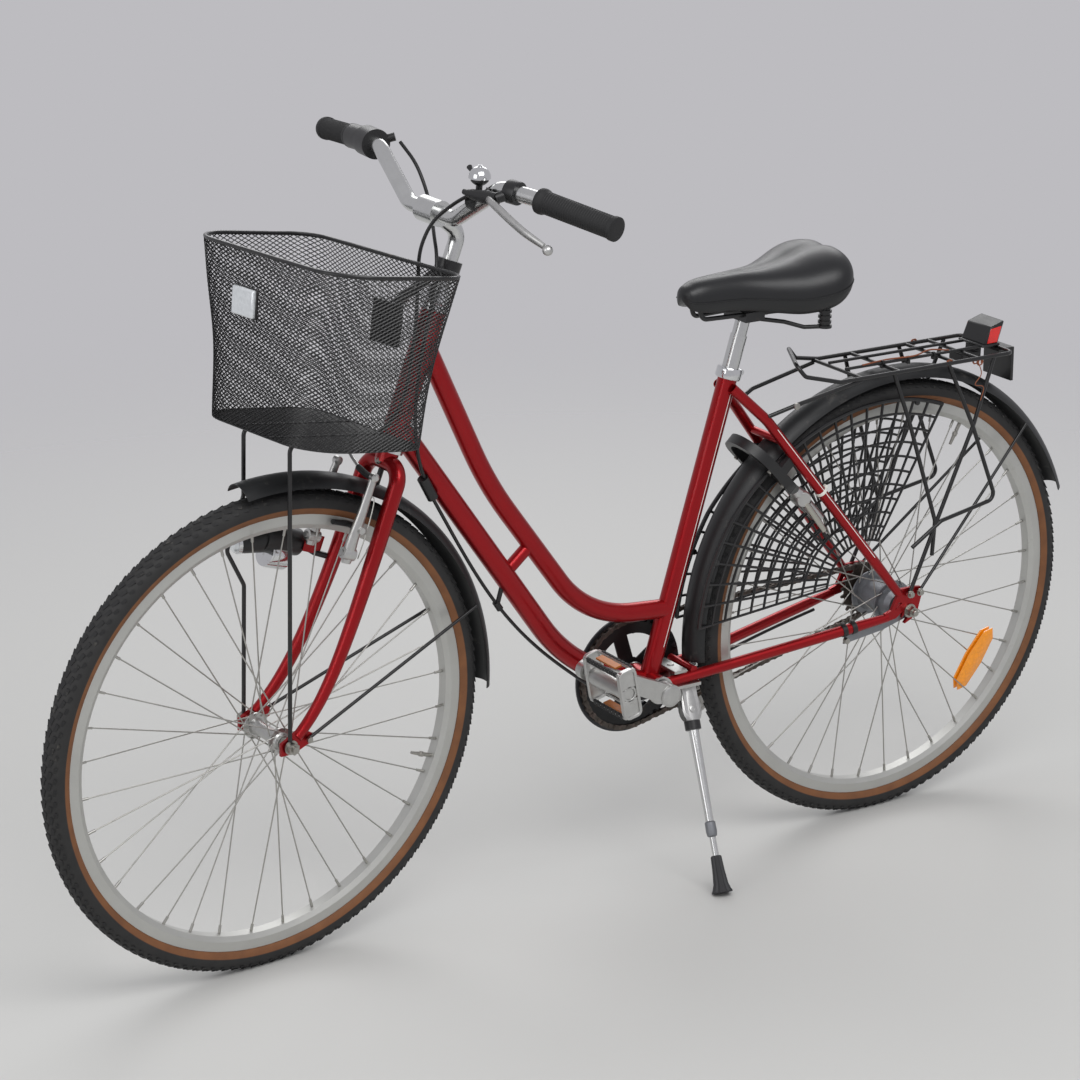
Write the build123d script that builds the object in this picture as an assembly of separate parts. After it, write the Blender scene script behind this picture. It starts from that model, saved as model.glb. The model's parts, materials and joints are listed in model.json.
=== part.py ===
from build123d import *
import math
import os

os.makedirs("parts", exist_ok=True)

# City bicycle with a low curved frame, front basket, rear rack, full fenders and a side stand.
# Every piece is drawn on the upright bicycle: X forward, Y to the left, Z up, millimetres,
# with the rear axle's centre at the origin. At the end the bicycle is leaned on its stand.

# ---------------------------------------------------------------- driving dimensions
WHEELBASE = 1083
HEAD_ANGLE = 69.5
SEAT_ANGLE = 74.3
FORK_OFFSET = 50
BB_X = 442
BB_Z = -55
LEAN = 3
STEER = 4.9

TYRE_R = 349
TYRE_SECTION = 37
TYRE_WALL = 3
RIM_R = 317.5
RIM_WIDTH = 25
RIM_DEPTH = 21
RIM_WALL = 1.8
SPOKES = 36
SPOKE_R = 1.0
SPOKE_LEAN = 1.4
NIPPLE_GAP = 0.4

HEAD_TUBE_R = 17.5
HEAD_LOW = 428
HEAD_HIGH = 620
TOP_TUBE_R = 14.3
DOWN_TUBE_R = 16
SEAT_TUBE_R = 14.3
SEAT_TUBE_LENGTH = 478
SEAT_POST_R = 12.5
SEAT_POST_OUT = 88
TUBE_WALL = 1.4
BB_SHELL_R = 20
BB_SHELL_HALF = 34
STEERER_R = 12.7
AXLE_R = 5
RUNNING_FIT = 0.05

REAR_HALF = 65
FRONT_HALF = 50
CHAINLINE = 45
CHAIN_PITCH = 12.7
CHAINRING_TEETH = 42
SPROCKET_TEETH = 20
CRANK_LENGTH = 170
CRANK_ANGLE = 25
PEDAL_ANGLE = 78

FENDER_R = 374
FENDER_HALF = 26
FENDER_DEPTH = 17
FENDER_WALL = 1.5

BAR_R = 11.1
GRIP_R = 15.5
BAR_HALF = 325
BAR_CLAMP_X = WHEELBASE - 257
BAR_CLAMP_Z = 703

BASKET_FOOT = (WHEELBASE + 32, 0, 439)
BASKET_PITCH = 8.2
BASKET_ROLL = 3.4
BASKET_DEPTH = 196
BASKET_HEIGHT = 240
BASKET_BASE_HALF = 140
BASKET_RIM_HALF = 183
RACK_Z = 383
RACK_HALF = 60
RACK_ROD_R = 3.2

STAND_PIVOT = (386, 34, -98)
STAND_FOOT = (416, 171)

Y_AXIS = Axis((0, 0, 0), (0, 1, 0))


# ---------------------------------------------------------------- helpers
def lerp(a, b, t):
    return a + (b - a) * t


def between(a, b, t):
    """The point that lies a given fraction of the way from one point to another."""
    return tuple(lerp(p, q, t) for p, q in zip(a, b))


def rod(points, radius, bend=None):
    """Round bar along straight runs joined by rounded bends."""
    if len(points) == 2:
        path = Line(points[0], points[1])
    else:
        path = FilletPolyline(*points, radius=bend)
    start = Plane(origin=path @ 0, z_dir=path % 0)
    return sweep(start * Circle(radius), path=path)


def cone(a, b, radius_a, radius_b):
    """Straight bar whose radius changes evenly from one end to the other."""
    a = Vector(*a)
    b = Vector(*b)
    start = Plane(origin=a, z_dir=b - a)
    end = Plane(origin=b, x_dir=start.x_dir, z_dir=b - a)
    return loft([start * Circle(radius_a), end * Circle(radius_b)])


def cord(name, route, radius, run=45):
    """Cable through a smooth route, made of short straight runs joined by tangent arcs."""
    curve = Spline(*route)
    count = math.ceil(curve.length / run)
    points = [curve @ (i / count) for i in range(count + 1)]
    bends = []
    for before, here, after in zip(points, points[1:], points[2:]):
        turn = (here - before).get_angle(after - here)
        shorter = min((here - before).length, (after - here).length)
        bends.append(0.45 * shorter / math.tan(math.radians(max(turn, 0.5)) / 2))
    path = FilletPolyline(*points, radius=bends)
    shape = sweep(Plane(origin=path @ 0, z_dir=path % 0) * Circle(radius), path=path)
    section = math.pi * radius ** 2
    print(name, "length", round(path.length), "tightest bend", round(min(bends)),
          "volume over section times length", round(shape.volume / section / path.length, 4))
    return shape


def disc(radius, y0, y1, hole=0):
    """Round plate about the Y axis between two side distances."""
    profile = Polyline((hole, y0), (radius, y0), (radius, y1), (hole, y1), (hole, y0))
    return revolve(make_face(profile), Axis.Y)


def turned(points):
    """Solid of revolution about the Y axis; points are (radius, side)."""
    return revolve(make_face(Polyline(*points, points[0])), Axis.Y)


def plate(points, y0, y1):
    """Flat plate across the bicycle; points are (x, z)."""
    outline = make_face(Polyline(*[(x, 0, z) for x, z in points + points[:1]]))
    return Pos(0, y0, 0) * extrude(outline, y1 - y0, dir=(0, 1, 0))


def mirrored(shape):
    return shape.mirror(Plane.XZ)


def both(shape):
    """The shape and its mirror image on the bicycle's other side."""
    return Compound(children=[*shape.solids(), *mirrored(shape).solids()])


def group(*shapes):
    return Compound(children=[s for shape in shapes for s in shape.solids()])


def polar(radius, degrees, y=0.0):
    a = math.radians(degrees)
    return (radius * math.cos(a), y, radius * math.sin(a))


# ---------------------------------------------------------------- steering axis
HEAD_UP = Vector(-math.cos(math.radians(HEAD_ANGLE)), 0, math.sin(math.radians(HEAD_ANGLE)))
HEAD_AHEAD = Vector(math.sin(math.radians(HEAD_ANGLE)), 0, math.cos(math.radians(HEAD_ANGLE)))
HEAD_FOOT = Vector(WHEELBASE, 0, 0) - HEAD_AHEAD * FORK_OFFSET


def head(up, ahead=0.0, side=0.0):
    """A point by its distance up the steering axis, ahead of it and to its left."""
    return HEAD_FOOT + HEAD_UP * up + HEAD_AHEAD * ahead + Vector(0, side, 0)


def along_seat(length):
    """A point on the seat tube's centre line, measured up from the bottom bracket."""
    a = math.radians(SEAT_ANGLE)
    return Vector(BB_X - length * math.cos(a), 0, BB_Z + length * math.sin(a))


def hold_steered(point):
    """Where a point fixed to the handlebar lies once the steering is turned."""
    return Vertex(*point).rotate(Axis(HEAD_FOOT, HEAD_UP), STEER).center()


nodes = {}
steered = set()


def keep(name, shape, steers=False):
    nodes[name] = shape
    if steers:
        steered.add(name)


# ---------------------------------------------------------------- wheels
TUBE_CENTRE_R = TYRE_R - TYRE_SECTION / 2
BED_R = RIM_R - 13
RIM_IN_R = RIM_R - RIM_DEPTH


def tyre():
    outer = Pos(TUBE_CENTRE_R, 0) * Circle(TYRE_SECTION / 2)
    inner = Pos(TUBE_CENTRE_R, 0) * Circle(TYRE_SECTION / 2 - TYRE_WALL)
    above_rim = Pos(RIM_R + 0.3 + 25, 0) * Rectangle(50, 60)
    bead = Pos(RIM_R - 3, RIM_WIDTH / 2 - RIM_WALL - 1.6) * Rectangle(10, 2.8)
    section = (outer - inner) & above_rim
    section = section + bead + mirror(bead, about=Plane.XZ)
    return revolve(section, Axis.Y)


def rim():
    half = RIM_WIDTH / 2
    inner = half - RIM_WALL
    outline = [
        (RIM_R, half), (RIM_R - 14, half), (RIM_IN_R, half - 4.5),
        (RIM_IN_R, -half + 4.5), (RIM_R - 14, -half), (RIM_R, -half),
        (RIM_R, -inner), (BED_R, -inner), (BED_R, inner), (RIM_R, inner),
    ]
    box_top = BED_R - RIM_WALL
    box_low = RIM_IN_R + RIM_WALL
    hollow = make_face(Polyline(
        (box_top, inner - 0.4), (box_low, half - 6), (box_low, -half + 6),
        (box_top, -inner + 0.4), (box_top, inner - 0.4)))
    section = make_face(Polyline(*outline, outline[0])) - hollow
    return revolve(section, Axis.Y)


def spokes(hole_r, flange_y, flange_t):
    """Three-cross lacing: each flange's spokes leave both ways and end at evenly spaced nipples."""
    per_side = SPOKES // 2
    hole_step = 360 / per_side
    reach = 3 * hole_step
    made = []
    for side in (1, -1):
        shift = 0 if side == 1 else hole_step
        for i in range(per_side):
            leading = i % 2 == 0
            face = flange_t / 2 + SPOKE_R + SPOKE_LEAN if leading else -flange_t / 2 - SPOKE_R - 0.1
            turn = -reach + hole_step / 4 if leading else reach - hole_step / 4
            hub_end = polar(hole_r, i * hole_step + shift, side * (flange_y + face))
            away = 2.6 if leading else 0.4
            rim_end = polar(RIM_IN_R - NIPPLE_GAP, i * hole_step + shift + turn, side * away)
            made.append(rod([hub_end, rim_end], SPOKE_R))
            back = Vector(*hub_end) - Vector(*rim_end)
            nipple_end = Vector(*rim_end) + back.normalized() * 12
            made.append(rod([rim_end, tuple(nipple_end)], 2.0) - made[-1])
    return group(*made)


def place(shape, x):
    return Pos(x, 0, 0) * shape


FRONT_FLANGE_Y = 31
FRONT_FLANGE_R = 19
REAR_FLANGE_Y = 27
REAR_FLANGE_R = 35
FLANGE_T = 3

front_hub = turned([
    (AXLE_R + RUNNING_FIT, -40), (10, -40), (11, -35), (13, -FRONT_FLANGE_Y - 1.5),
    (FRONT_FLANGE_R, -FRONT_FLANGE_Y - 1.5), (FRONT_FLANGE_R, -FRONT_FLANGE_Y + 1.5),
    (12, -FRONT_FLANGE_Y + 1.5), (10, -18), (10, 18), (12, FRONT_FLANGE_Y - 1.5),
    (FRONT_FLANGE_R, FRONT_FLANGE_Y - 1.5), (FRONT_FLANGE_R, FRONT_FLANGE_Y + 1.5),
    (13, FRONT_FLANGE_Y + 1.5), (11, 35), (10, 40), (AXLE_R + RUNNING_FIT, 40),
])
rear_hub = turned([
    (AXLE_R + RUNNING_FIT, -38), (22, -38), (26, -34), (28, -REAR_FLANGE_Y - 1.5),
    (REAR_FLANGE_R, -REAR_FLANGE_Y - 1.5), (REAR_FLANGE_R, -REAR_FLANGE_Y + 1.5),
    (27, -REAR_FLANGE_Y + 1.5), (25, -18), (25, 18), (27, REAR_FLANGE_Y - 1.5),
    (REAR_FLANGE_R, REAR_FLANGE_Y - 1.5), (REAR_FLANGE_R, REAR_FLANGE_Y + 1.5),
    (29, REAR_FLANGE_Y + 1.5), (27, 38), (21, 46), (AXLE_R + RUNNING_FIT, 46),
])

keep("front_tyre", place(tyre(), WHEELBASE), True)
keep("front_rim", place(rim(), WHEELBASE), True)
keep("front_spokes", place(spokes(FRONT_FLANGE_R - 3.5, FRONT_FLANGE_Y, FLANGE_T), WHEELBASE), True)
keep("front_hub", place(front_hub, WHEELBASE), True)
keep("rear_tyre", tyre())
keep("rear_rim", rim())
keep("rear_spokes", spokes(REAR_FLANGE_R - 3.5, REAR_FLANGE_Y, FLANGE_T))
keep("rear_hub", rear_hub)

# ---------------------------------------------------------------- axles
NUT_AF = 15


def axle_nut(y0, y1, hole):
    face = RegularPolygon(NUT_AF / 2, 6, major_radius=False) - Circle(hole)
    return Plane(origin=(0, y0, 0), z_dir=(0, 1, 0)) * extrude(face, y1 - y0)


DROPOUT_T = 5
EYE_T = 2.5
front_out = FRONT_HALF + DROPOUT_T
front_axle = disc(AXLE_R, -front_out - 16, front_out + 16)
front_axle += disc(9, 40.6, FRONT_HALF - 0.02) + disc(9, -FRONT_HALF + 0.02, -40.6)
front_axle += axle_nut(front_out + EYE_T + 0.04, front_out + 12, AXLE_R - 0.5)
front_axle += axle_nut(-front_out - 12, -front_out - EYE_T - 0.04, AXLE_R - 0.5)
keep("front_axle", place(front_axle, WHEELBASE), True)

COASTER_IN = 59
COASTER_OUT = 62
rear_out = REAR_HALF + DROPOUT_T
rear_axle = disc(AXLE_R, -rear_out - 16, rear_out + 16)
rear_axle += disc(9, 46.6, COASTER_IN - 0.02) + disc(9, COASTER_OUT + 0.02, REAR_HALF - 0.02)
rear_axle += disc(9, -REAR_HALF + 0.02, -55)
rear_axle += axle_nut(rear_out + 0.02, rear_out + 11, AXLE_R - 0.5)
rear_axle += axle_nut(-rear_out - 11, -rear_out - 0.02, AXLE_R - 0.5)
keep("rear_axle", rear_axle)

# ---------------------------------------------------------------- frame tubes
head_shell = rod([head(HEAD_LOW), head(HEAD_HIGH)], HEAD_TUBE_R)
seat_shell = rod([along_seat(0), along_seat(SEAT_TUBE_LENGTH)], SEAT_TUBE_R)
bb_shell = Pos(BB_X, 0, BB_Z) * disc(BB_SHELL_R, -BB_SHELL_HALF, BB_SHELL_HALF)
head_tube = head_shell - rod([head(HEAD_LOW - 1), head(HEAD_HIGH + 1)], HEAD_TUBE_R - 1.8)
seat_tube = seat_shell - rod([along_seat(0), along_seat(SEAT_TUBE_LENGTH + 1)], SEAT_POST_R)
seat_tube -= bb_shell
bottom_bracket = bb_shell - Pos(BB_X, 0, BB_Z) * disc(16, -BB_SHELL_HALF - 1, BB_SHELL_HALF + 1)

TOP_TUBE_END = along_seat(117)
TOP_TUBE_HEAD = head(575)
top_points = [(TOP_TUBE_HEAD.X, 0, TOP_TUBE_HEAD.Z), (729, 0, 301), (555, 0, 69), (TOP_TUBE_END.X, 0,
    TOP_TUBE_END.Z)]
top_bends = [600, 180]
DOWN_TUBE_HEAD = head(455)
down_points = [(DOWN_TUBE_HEAD.X, 0, DOWN_TUBE_HEAD.Z), (588, 0, 7), (BB_X, 0, BB_Z)]
top_outer = rod(top_points, TOP_TUBE_R, top_bends)
down_outer = rod(down_points, DOWN_TUBE_R, 280)
below_head = rod([head(HEAD_LOW - 60), head(HEAD_LOW)], 21)
top_tube = top_outer - rod(top_points, TOP_TUBE_R - TUBE_WALL, top_bends) - head_shell - seat_shell
down_tube = down_outer - rod(down_points, DOWN_TUBE_R - TUBE_WALL, 280) - head_shell - bb_shell
down_tube -= seat_shell + below_head
brace = rod([(696, 0, 164), (653, 0, 201)], 9.5) - top_outer - down_outer
keep("head_tube", head_tube)
keep("top_tube", top_tube)
keep("down_tube", group(down_tube, brace))
keep("seat_tube", seat_tube)
keep("bottom_bracket", bottom_bracket)

CUP_T = 10
lower_cup = rod([head(HEAD_LOW - CUP_T), head(HEAD_LOW)], 20)
upper_cup = rod([head(HEAD_HIGH), head(HEAD_HIGH + CUP_T)], 19)
steerer_hole = rod([head(HEAD_LOW - 40), head(HEAD_HIGH + 40)], STEERER_R + RUNNING_FIT)
keep("headset_cups", group(lower_cup - steerer_hole, upper_cup - steerer_hole))

STAY_R = 8.3
STAY_TIP_R = 6.5
DROPOUT_MID = REAR_HALF + DROPOUT_T / 2
dropout = plate([(48, -11), (48, 2), (36, 6), (28, 22), (22, 38), (-6, 38), (-20, 36), (-22, 20), (-17, 0),
                 (-6, -14), (8, -20), (15, -12), (13, 1), (26, -8)], REAR_HALF, rear_out)
dropout -= plate([(29, 5), (22, 17), (15, 15)], REAR_HALF - 1, rear_out + 1)
SLOT_DROP = 50
slot = Pos(0, REAR_HALF, 0) * Rot(Y=SLOT_DROP) * Pos(12, 0, 0) * Box(24, 3 * DROPOUT_T, 2 * AXLE_R + 0.2)
slot += Pos(0, REAR_HALF, 0) * disc(AXLE_R + 0.1, -8, 8)
dropout -= slot
for eye_x in (5, -15):
    dropout -= Pos(eye_x, REAR_HALF, 29) * disc(2.6, -8, 8)
keep("rear_dropouts", both(dropout))

cs_tip = (42, DROPOUT_MID, -5)
cs_bend = (315, 32.5, -40)
cs_points = [(BB_X - 14, 24, BB_Z + 4), cs_bend, between(cs_bend, cs_tip, 0.78)]
chain_stay = rod(cs_points, STAY_R, 120) - rod(cs_points, STAY_R - TUBE_WALL, 120)
cs_taper = cone(cs_points[2], cs_tip, STAY_R, STAY_TIP_R)
chain_stay = chain_stay + cs_taper - bb_shell - dropout
stay_bridge = polar(FENDER_R + 6, -5.5)
bridge = rod([(stay_bridge[0], -30, stay_bridge[2]), (stay_bridge[0], 30, stay_bridge[2])], 6)
solid_stay = rod(cs_points, STAY_R, 120)
bridge = bridge - solid_stay - mirrored(solid_stay)
keep("chain_stays", group(both(chain_stay), bridge))

SS_TOP = along_seat(SEAT_TUBE_LENGTH - 20)
ss_tip = (21, DROPOUT_MID, 30)
ss_bend = (268, 37, 336)
ss_points = [(SS_TOP.X, 17, SS_TOP.Z), ss_bend, between(ss_bend, ss_tip, 0.83)]
seat_stay = rod(ss_points, STAY_R - 0.3, 60) - rod(ss_points, STAY_R - 0.3 - TUBE_WALL, 60)
seat_stay = seat_stay + cone(ss_points[2], ss_tip, STAY_R - 0.3, STAY_TIP_R) - seat_shell - dropout
fender_bridge = polar(FENDER_R + 6, 51.6)
solid_seat_stay = rod(ss_points, STAY_R - 0.3, 60)
bridge = rod([(fender_bridge[0], -40, fender_bridge[2]), (fender_bridge[0], 40, fender_bridge[2])], 6)
bridge = bridge - solid_seat_stay - mirrored(solid_seat_stay)
keep("seat_stays", group(both(seat_stay), bridge))

# ---------------------------------------------------------------- saddle and its post
post_top = along_seat(SEAT_TUBE_LENGTH + SEAT_POST_OUT)
seat_post = rod([along_seat(SEAT_TUBE_LENGTH - 110), along_seat(SEAT_TUBE_LENGTH + SEAT_POST_OUT - 30)],
    SEAT_POST_R - 0.02)
seat_post += rod([along_seat(SEAT_TUBE_LENGTH + SEAT_POST_OUT - 30), post_top], 11)
keep("seat_post", seat_post)
collar = rod([along_seat(SEAT_TUBE_LENGTH - 8), along_seat(SEAT_TUBE_LENGTH + 8)], 18)
collar -= rod([along_seat(SEAT_TUBE_LENGTH - 9), along_seat(SEAT_TUBE_LENGTH)], SEAT_TUBE_R)
collar -= rod([along_seat(SEAT_TUBE_LENGTH - 9), along_seat(SEAT_TUBE_LENGTH + 9)], SEAT_POST_R)
keep("seat_clamp", collar)

SADDLE_NOSE_X = 404
SADDLE_STATIONS = (
    # distance back from the nose, half width, top, lower edge
    (0, 12, 538, 522), (10, 20, 545, 512), (32, 26, 553, 507), (92, 33, 557, 504), (139, 50, 559, 498),
    (179, 72, 566, 495), (214, 86, 577, 500), (237, 87, 582, 508), (254, 76, 581, 520), (264, 56, 574, 534))
UNDERSIDE_HOLLOW = 0.2


def saddle_section(back, half, top, low):
    """Rounded cross-section with a shallow groove on top and a hollow underside."""
    right = [(0.5 * half, top), (0.86 * half, top - 7), (half, lerp(low, top, 0.45)), (0.9 * half, low)]
    left = [(-y, z) for y, z in reversed(right)]
    points = [(0, top - 3), *right, (0, low + UNDERSIDE_HOLLOW * half), *left]
    outline = Spline(*[(y, z) for y, z in points], periodic=True)
    return Plane(origin=(SADDLE_NOSE_X - back, 0, 0), x_dir=(0, 1, 0), z_dir=(1, 0, 0)) * make_face(outline)


saddle = loft([saddle_section(*station) for station in SADDLE_STATIONS])
keep("saddle", saddle)

RAIL_Z = 495
RAIL_R = 3.5
rail = rod([(382, 9, 524), (372, 11, RAIL_Z), (250, 22, RAIL_Z), (200, 44, RAIL_Z + 4), (190, 54, 516)],
    RAIL_R, 10)
rail -= saddle
ELASTOMER_AT = (184, 56)
ELASTOMER_R = 8
ELASTOMER_LOW = 474
ELASTOMER_HIGH = 500
elastomer = Pos(*ELASTOMER_AT, ELASTOMER_LOW) * Cylinder(
    ELASTOMER_R, ELASTOMER_HIGH + 14 - ELASTOMER_LOW, align=(Align.CENTER, Align.CENTER, Align.MIN))
for ridge_z in (ELASTOMER_LOW + 5, ELASTOMER_LOW + 13, ELASTOMER_LOW + 21):
    elastomer += Pos(*ELASTOMER_AT, ridge_z) * Cylinder(ELASTOMER_R + 2, 4)
elastomer += Pos(*ELASTOMER_AT, ELASTOMER_LOW - 2) * Cylinder(ELASTOMER_R + 3, 4)
elastomer -= saddle
CRADLE_Z = ELASTOMER_LOW - 2
cradle = rod([(286, 18, RAIL_Z - 7), (240, 32, CRADLE_Z + 8), (214, 46, CRADLE_Z), (ELASTOMER_AT[0], 58,
    CRADLE_Z)], 3.2, 12)
clamp = Pos(post_top.X, 0, RAIL_Z - 3) * Box(34, 54, 14)
clamp -= rod([along_seat(SEAT_TUBE_LENGTH), along_seat(SEAT_TUBE_LENGTH + SEAT_POST_OUT + 1)], 11)
elastomer_side = (cradle - clamp) + elastomer
clamp -= saddle
keep("saddle_frame", group(clamp - both(rail), both(rail), both(elastomer_side - rail)))

# ---------------------------------------------------------------- fenders
def fender(start, end):
    """Curved sheet over a wheel between two angles, measured from straight ahead, up and over."""
    outer = make_face(
        ThreePointArc((FENDER_R - FENDER_DEPTH, FENDER_HALF), (FENDER_R, 0), (FENDER_R - FENDER_DEPTH,
            -FENDER_HALF))
        + ThreePointArc((FENDER_R - FENDER_DEPTH, -FENDER_HALF + FENDER_WALL), (FENDER_R - FENDER_WALL, 0),
                        (FENDER_R - FENDER_DEPTH, FENDER_HALF - FENDER_WALL))
        + Line((FENDER_R - FENDER_DEPTH, FENDER_HALF), (FENDER_R - FENDER_DEPTH, FENDER_HALF - FENDER_WALL))
        + Line((FENDER_R - FENDER_DEPTH, -FENDER_HALF), (FENDER_R - FENDER_DEPTH,
            -FENDER_HALF + FENDER_WALL)))
    shell = revolve(outer, Axis.Y, end - start)
    return shell.rotate(Y_AXIS, -start if shell.center().Z > 0 else -end)


solid_stays = group(both(solid_stay), both(solid_seat_stay))
front_fender = fender(82, 181)
rear_fender = fender(-5, 159) - solid_stays
keep("front_fender", place(front_fender, WHEELBASE), True)
keep("rear_fender", rear_fender)

EDGE_R = FENDER_R - FENDER_DEPTH


def fender_stay(half, angle, foot):
    foot_point = (foot[0], half, foot[1])
    return rod([foot_point, polar(EDGE_R - 2, angle, FENDER_HALF + 2.4)], 2.4)


crown_tab = rod([head(FENDER_R - 5, 2), head(FENDER_R + 25, 2)], 4) - place(front_fender, WHEELBASE)
keep("rear_fender_stays", both(fender_stay(rear_out + 2.4, 135, (-15, 29)) - dropout))

# ---------------------------------------------------------------- fork and headset
CROWN = 403
BLADE_TOP_Y = 39
BLADE_R = 11.5
BLADE_TIP_R = 7.5
crown = rod([head(CROWN - 90, 0, -BLADE_TOP_Y - 1), head(CROWN, 0, -BLADE_TOP_Y), head(CROWN, 0, BLADE_TOP_Y),
             head(CROWN - 90, 0, BLADE_TOP_Y + 1)], BLADE_R, 26)
blade_line = Bezier(head(CROWN - 90, 0, BLADE_TOP_Y + 1), head(CROWN - 225, 0, BLADE_TOP_Y + 2.5), head(70,
    8, 51), head(14, 42, FRONT_HALF + 2.5))
sections = []
for t in (0, 0.25, 0.5, 0.75, 1):
    station = Plane(origin=blade_line @ t, x_dir=(0, 1, 0), z_dir=blade_line % t)
    sections.append(station * Circle(lerp(BLADE_R, BLADE_TIP_R, t)))
blade = loft(sections)
front_drop = plate([(-36, 0), (-36, 12), (-24, 20), (-12, 20), (2, 12), (14, 6), (14, -12), (-8, -12)],
    FRONT_HALF, front_out)
front_drop -= Pos(0, FRONT_HALF, 0) * disc(AXLE_R + 0.1, -8, 8)
front_drop = place(front_drop, WHEELBASE)
steerer = rod([head(CROWN), head(HEAD_HIGH + 30)], STEERER_R)
crown_race = rod([head(CROWN), head(HEAD_LOW - CUP_T - 0.6)], 15.5)
steerer_bore = rod([head(480), head(HEAD_HIGH + 60)], BAR_R + 0.02)
fork = crown + crown_race + steerer + both(blade) + both(front_drop) - steerer_bore
keep("fork", fork, True)
lock_top = head(HEAD_HIGH + 34)
top_cone = rod([head(HEAD_HIGH + CUP_T + 0.6), lock_top], 17.5)
top_cone -= rod([head(HEAD_HIGH), head(HEAD_HIGH + 30.02)], STEERER_R + 0.02)
top_cone -= rod([head(HEAD_HIGH), head(HEAD_HIGH + 60)], BAR_R + 0.02)
keep("headset_nut", top_cone, True)
stay_pair = place(both(fender_stay(front_out + 2.4, 159, (-28, 6))), WHEELBASE)
keep("front_fender_stays", group(stay_pair - fork, crown_tab - fork), True)

# ---------------------------------------------------------------- stem and handlebar
STEM_UP = 732
stem_bend = head(STEM_UP)
stem_line = [head(500), stem_bend, (BAR_CLAMP_X, 0, BAR_CLAMP_Z)]
stem = rod(stem_line, BAR_R, 22)
stem += Pos(BAR_CLAMP_X, 0, BAR_CLAMP_Z) * disc(18, -20, 20)
stem -= Pos(BAR_CLAMP_X, 0, BAR_CLAMP_Z) * disc(BAR_R + 0.02, -21, 21)
keep("stem", stem, True)

bar_side = [(BAR_CLAMP_X, 0, BAR_CLAMP_Z), (BAR_CLAMP_X, 52, BAR_CLAMP_Z),
            (BAR_CLAMP_X - 10, 138, 762), (BAR_CLAMP_X - 23, 192, 759)]
bar_end = (BAR_CLAMP_X - 50, BAR_HALF, 745)
right_points = [(x, -y, z) for x, y, z in bar_side[1:] + [bar_end]]
bar_points = [bar_end] + bar_side[:0:-1] + right_points
handlebar = rod(bar_points, BAR_R, 30)
keep("handlebar", handlebar, True)

grip_dir = (Vector(*bar_end) - Vector(*bar_side[3])).normalized()


def on_grip(distance, side=1):
    """A point on the grip's line, by its distance in from the bar's end."""
    p = Vector(*bar_end) - grip_dir * distance
    return Vector(p.X, p.Y * side, p.Z)


def on_sweep(side):
    """A point on the bar's short run between its two bends, by its distance from the middle."""
    t = (abs(side) - bar_side[2][1]) / (bar_side[3][1] - bar_side[2][1])
    x = lerp(bar_side[2][0], bar_side[3][0], t)
    z = lerp(bar_side[2][2], bar_side[3][2], t)
    return (x, side, z)


left_grip = rod([on_grip(-3), on_grip(126)], GRIP_R)
right_grip = rod([on_grip(-3, -1), on_grip(98, -1)], GRIP_R)
keep("grips", group(left_grip - handlebar, right_grip - handlebar), True)
shifter = rod([on_grip(98.3, -1), on_grip(133, -1)], 17.5) + rod([on_sweep(-187), on_sweep(-152)], 21)
shifter += rod([on_sweep(-165), head(826, 40, -147)], 6)
keep("gear_shifter", shifter - handlebar, True)

lever_body = cone(head(792, 80, 150), head(788, 86, 106), 9, 7)
lever_blade = rod([head(790, 82, 132), head(782, 98, 178), head(762, 88, 240), head(755, 82, 274)], 5, 18)
lever_ball = rod([head(757, 82, 269), head(753, 81, 283)], 7)
lever_band = rod([on_sweep(152), on_sweep(166)], 16) + rod([on_sweep(159), head(793, 80, 148)], 6)
keep("brake_lever", lever_body + lever_blade + lever_ball + lever_band - handlebar, True)

bell_at = head(812, 74, 97)
BELL_R = 15
dome_steps = [math.radians(20 * i) for i in range(5)]
dome = loft([Pos(0, 0, BELL_R * math.sin(a)) * Circle(BELL_R * math.cos(a)) for a in dome_steps], ruled=True)
bell_post = rod([head(806, 71, 97), head(782, 64, 96)], 4)
bell = Pos(*bell_at) * dome + bell_post
keep("bell", bell - handlebar, True)

# ---------------------------------------------------------------- basket
BASKET_WALL = 2
BASKET_SPREAD = 11
basket_frame = Pos(*BASKET_FOOT) * Rot(Y=-BASKET_PITCH) * Rot(X=BASKET_ROLL)


def in_basket(x, y, z):
    """A point measured from the middle of the front edge of the basket's base."""
    return (basket_frame * Pos(x, y, z)).position


def basket_plan(z, back, front, half, inset=0.0):
    """Outline with a nearly square back and well rounded front corners."""
    plan = Pos((back + front) / 2, 0, z) * Rectangle(front - back - 2 * inset, 2 * (half - inset))
    corners = plan.vertices().sort_by(Axis.X)
    plan = fillet(corners[2:], 65 - inset)
    return fillet(plan.vertices().sort_by(Axis.X)[:2], 38 - inset)


def basket_block(low, high, inset):
    base = basket_plan(low, -BASKET_DEPTH, 0, BASKET_BASE_HALF, inset)
    return loft([base, basket_plan(high, -BASKET_DEPTH - 4, BASKET_SPREAD, BASKET_RIM_HALF, inset)])


basket_solid = basket_frame * basket_block(0, BASKET_HEIGHT, 0)
keep("basket", basket_solid - basket_frame * basket_block(BASKET_WALL, BASKET_HEIGHT + 1, BASKET_WALL), True)
reflector = basket_frame * (Pos(BASKET_SPREAD + 1, -18, 172) * Box(18, 54, 40))
keep("basket_reflector", reflector - basket_solid, True)
strut_low = (WHEELBASE + 2, front_out + 2.9, 9)
STRUT_R = 3
UNDER_BASE = -STRUT_R - 0.05
left_top = [in_basket(x, 55, UNDER_BASE) for x in (-27, -155)]
right_top = [in_basket(x, -55, UNDER_BASE) for x in (-27, -155)]
left_strut = rod([strut_low, *left_top], STRUT_R, 12)
right_low = (strut_low[0], -strut_low[1], strut_low[2])
right_strut = rod([right_low, (1086, -57, 200), (1114, -57, 254), (1088, -56, 330), *right_top], STRUT_R, 12)
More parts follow.
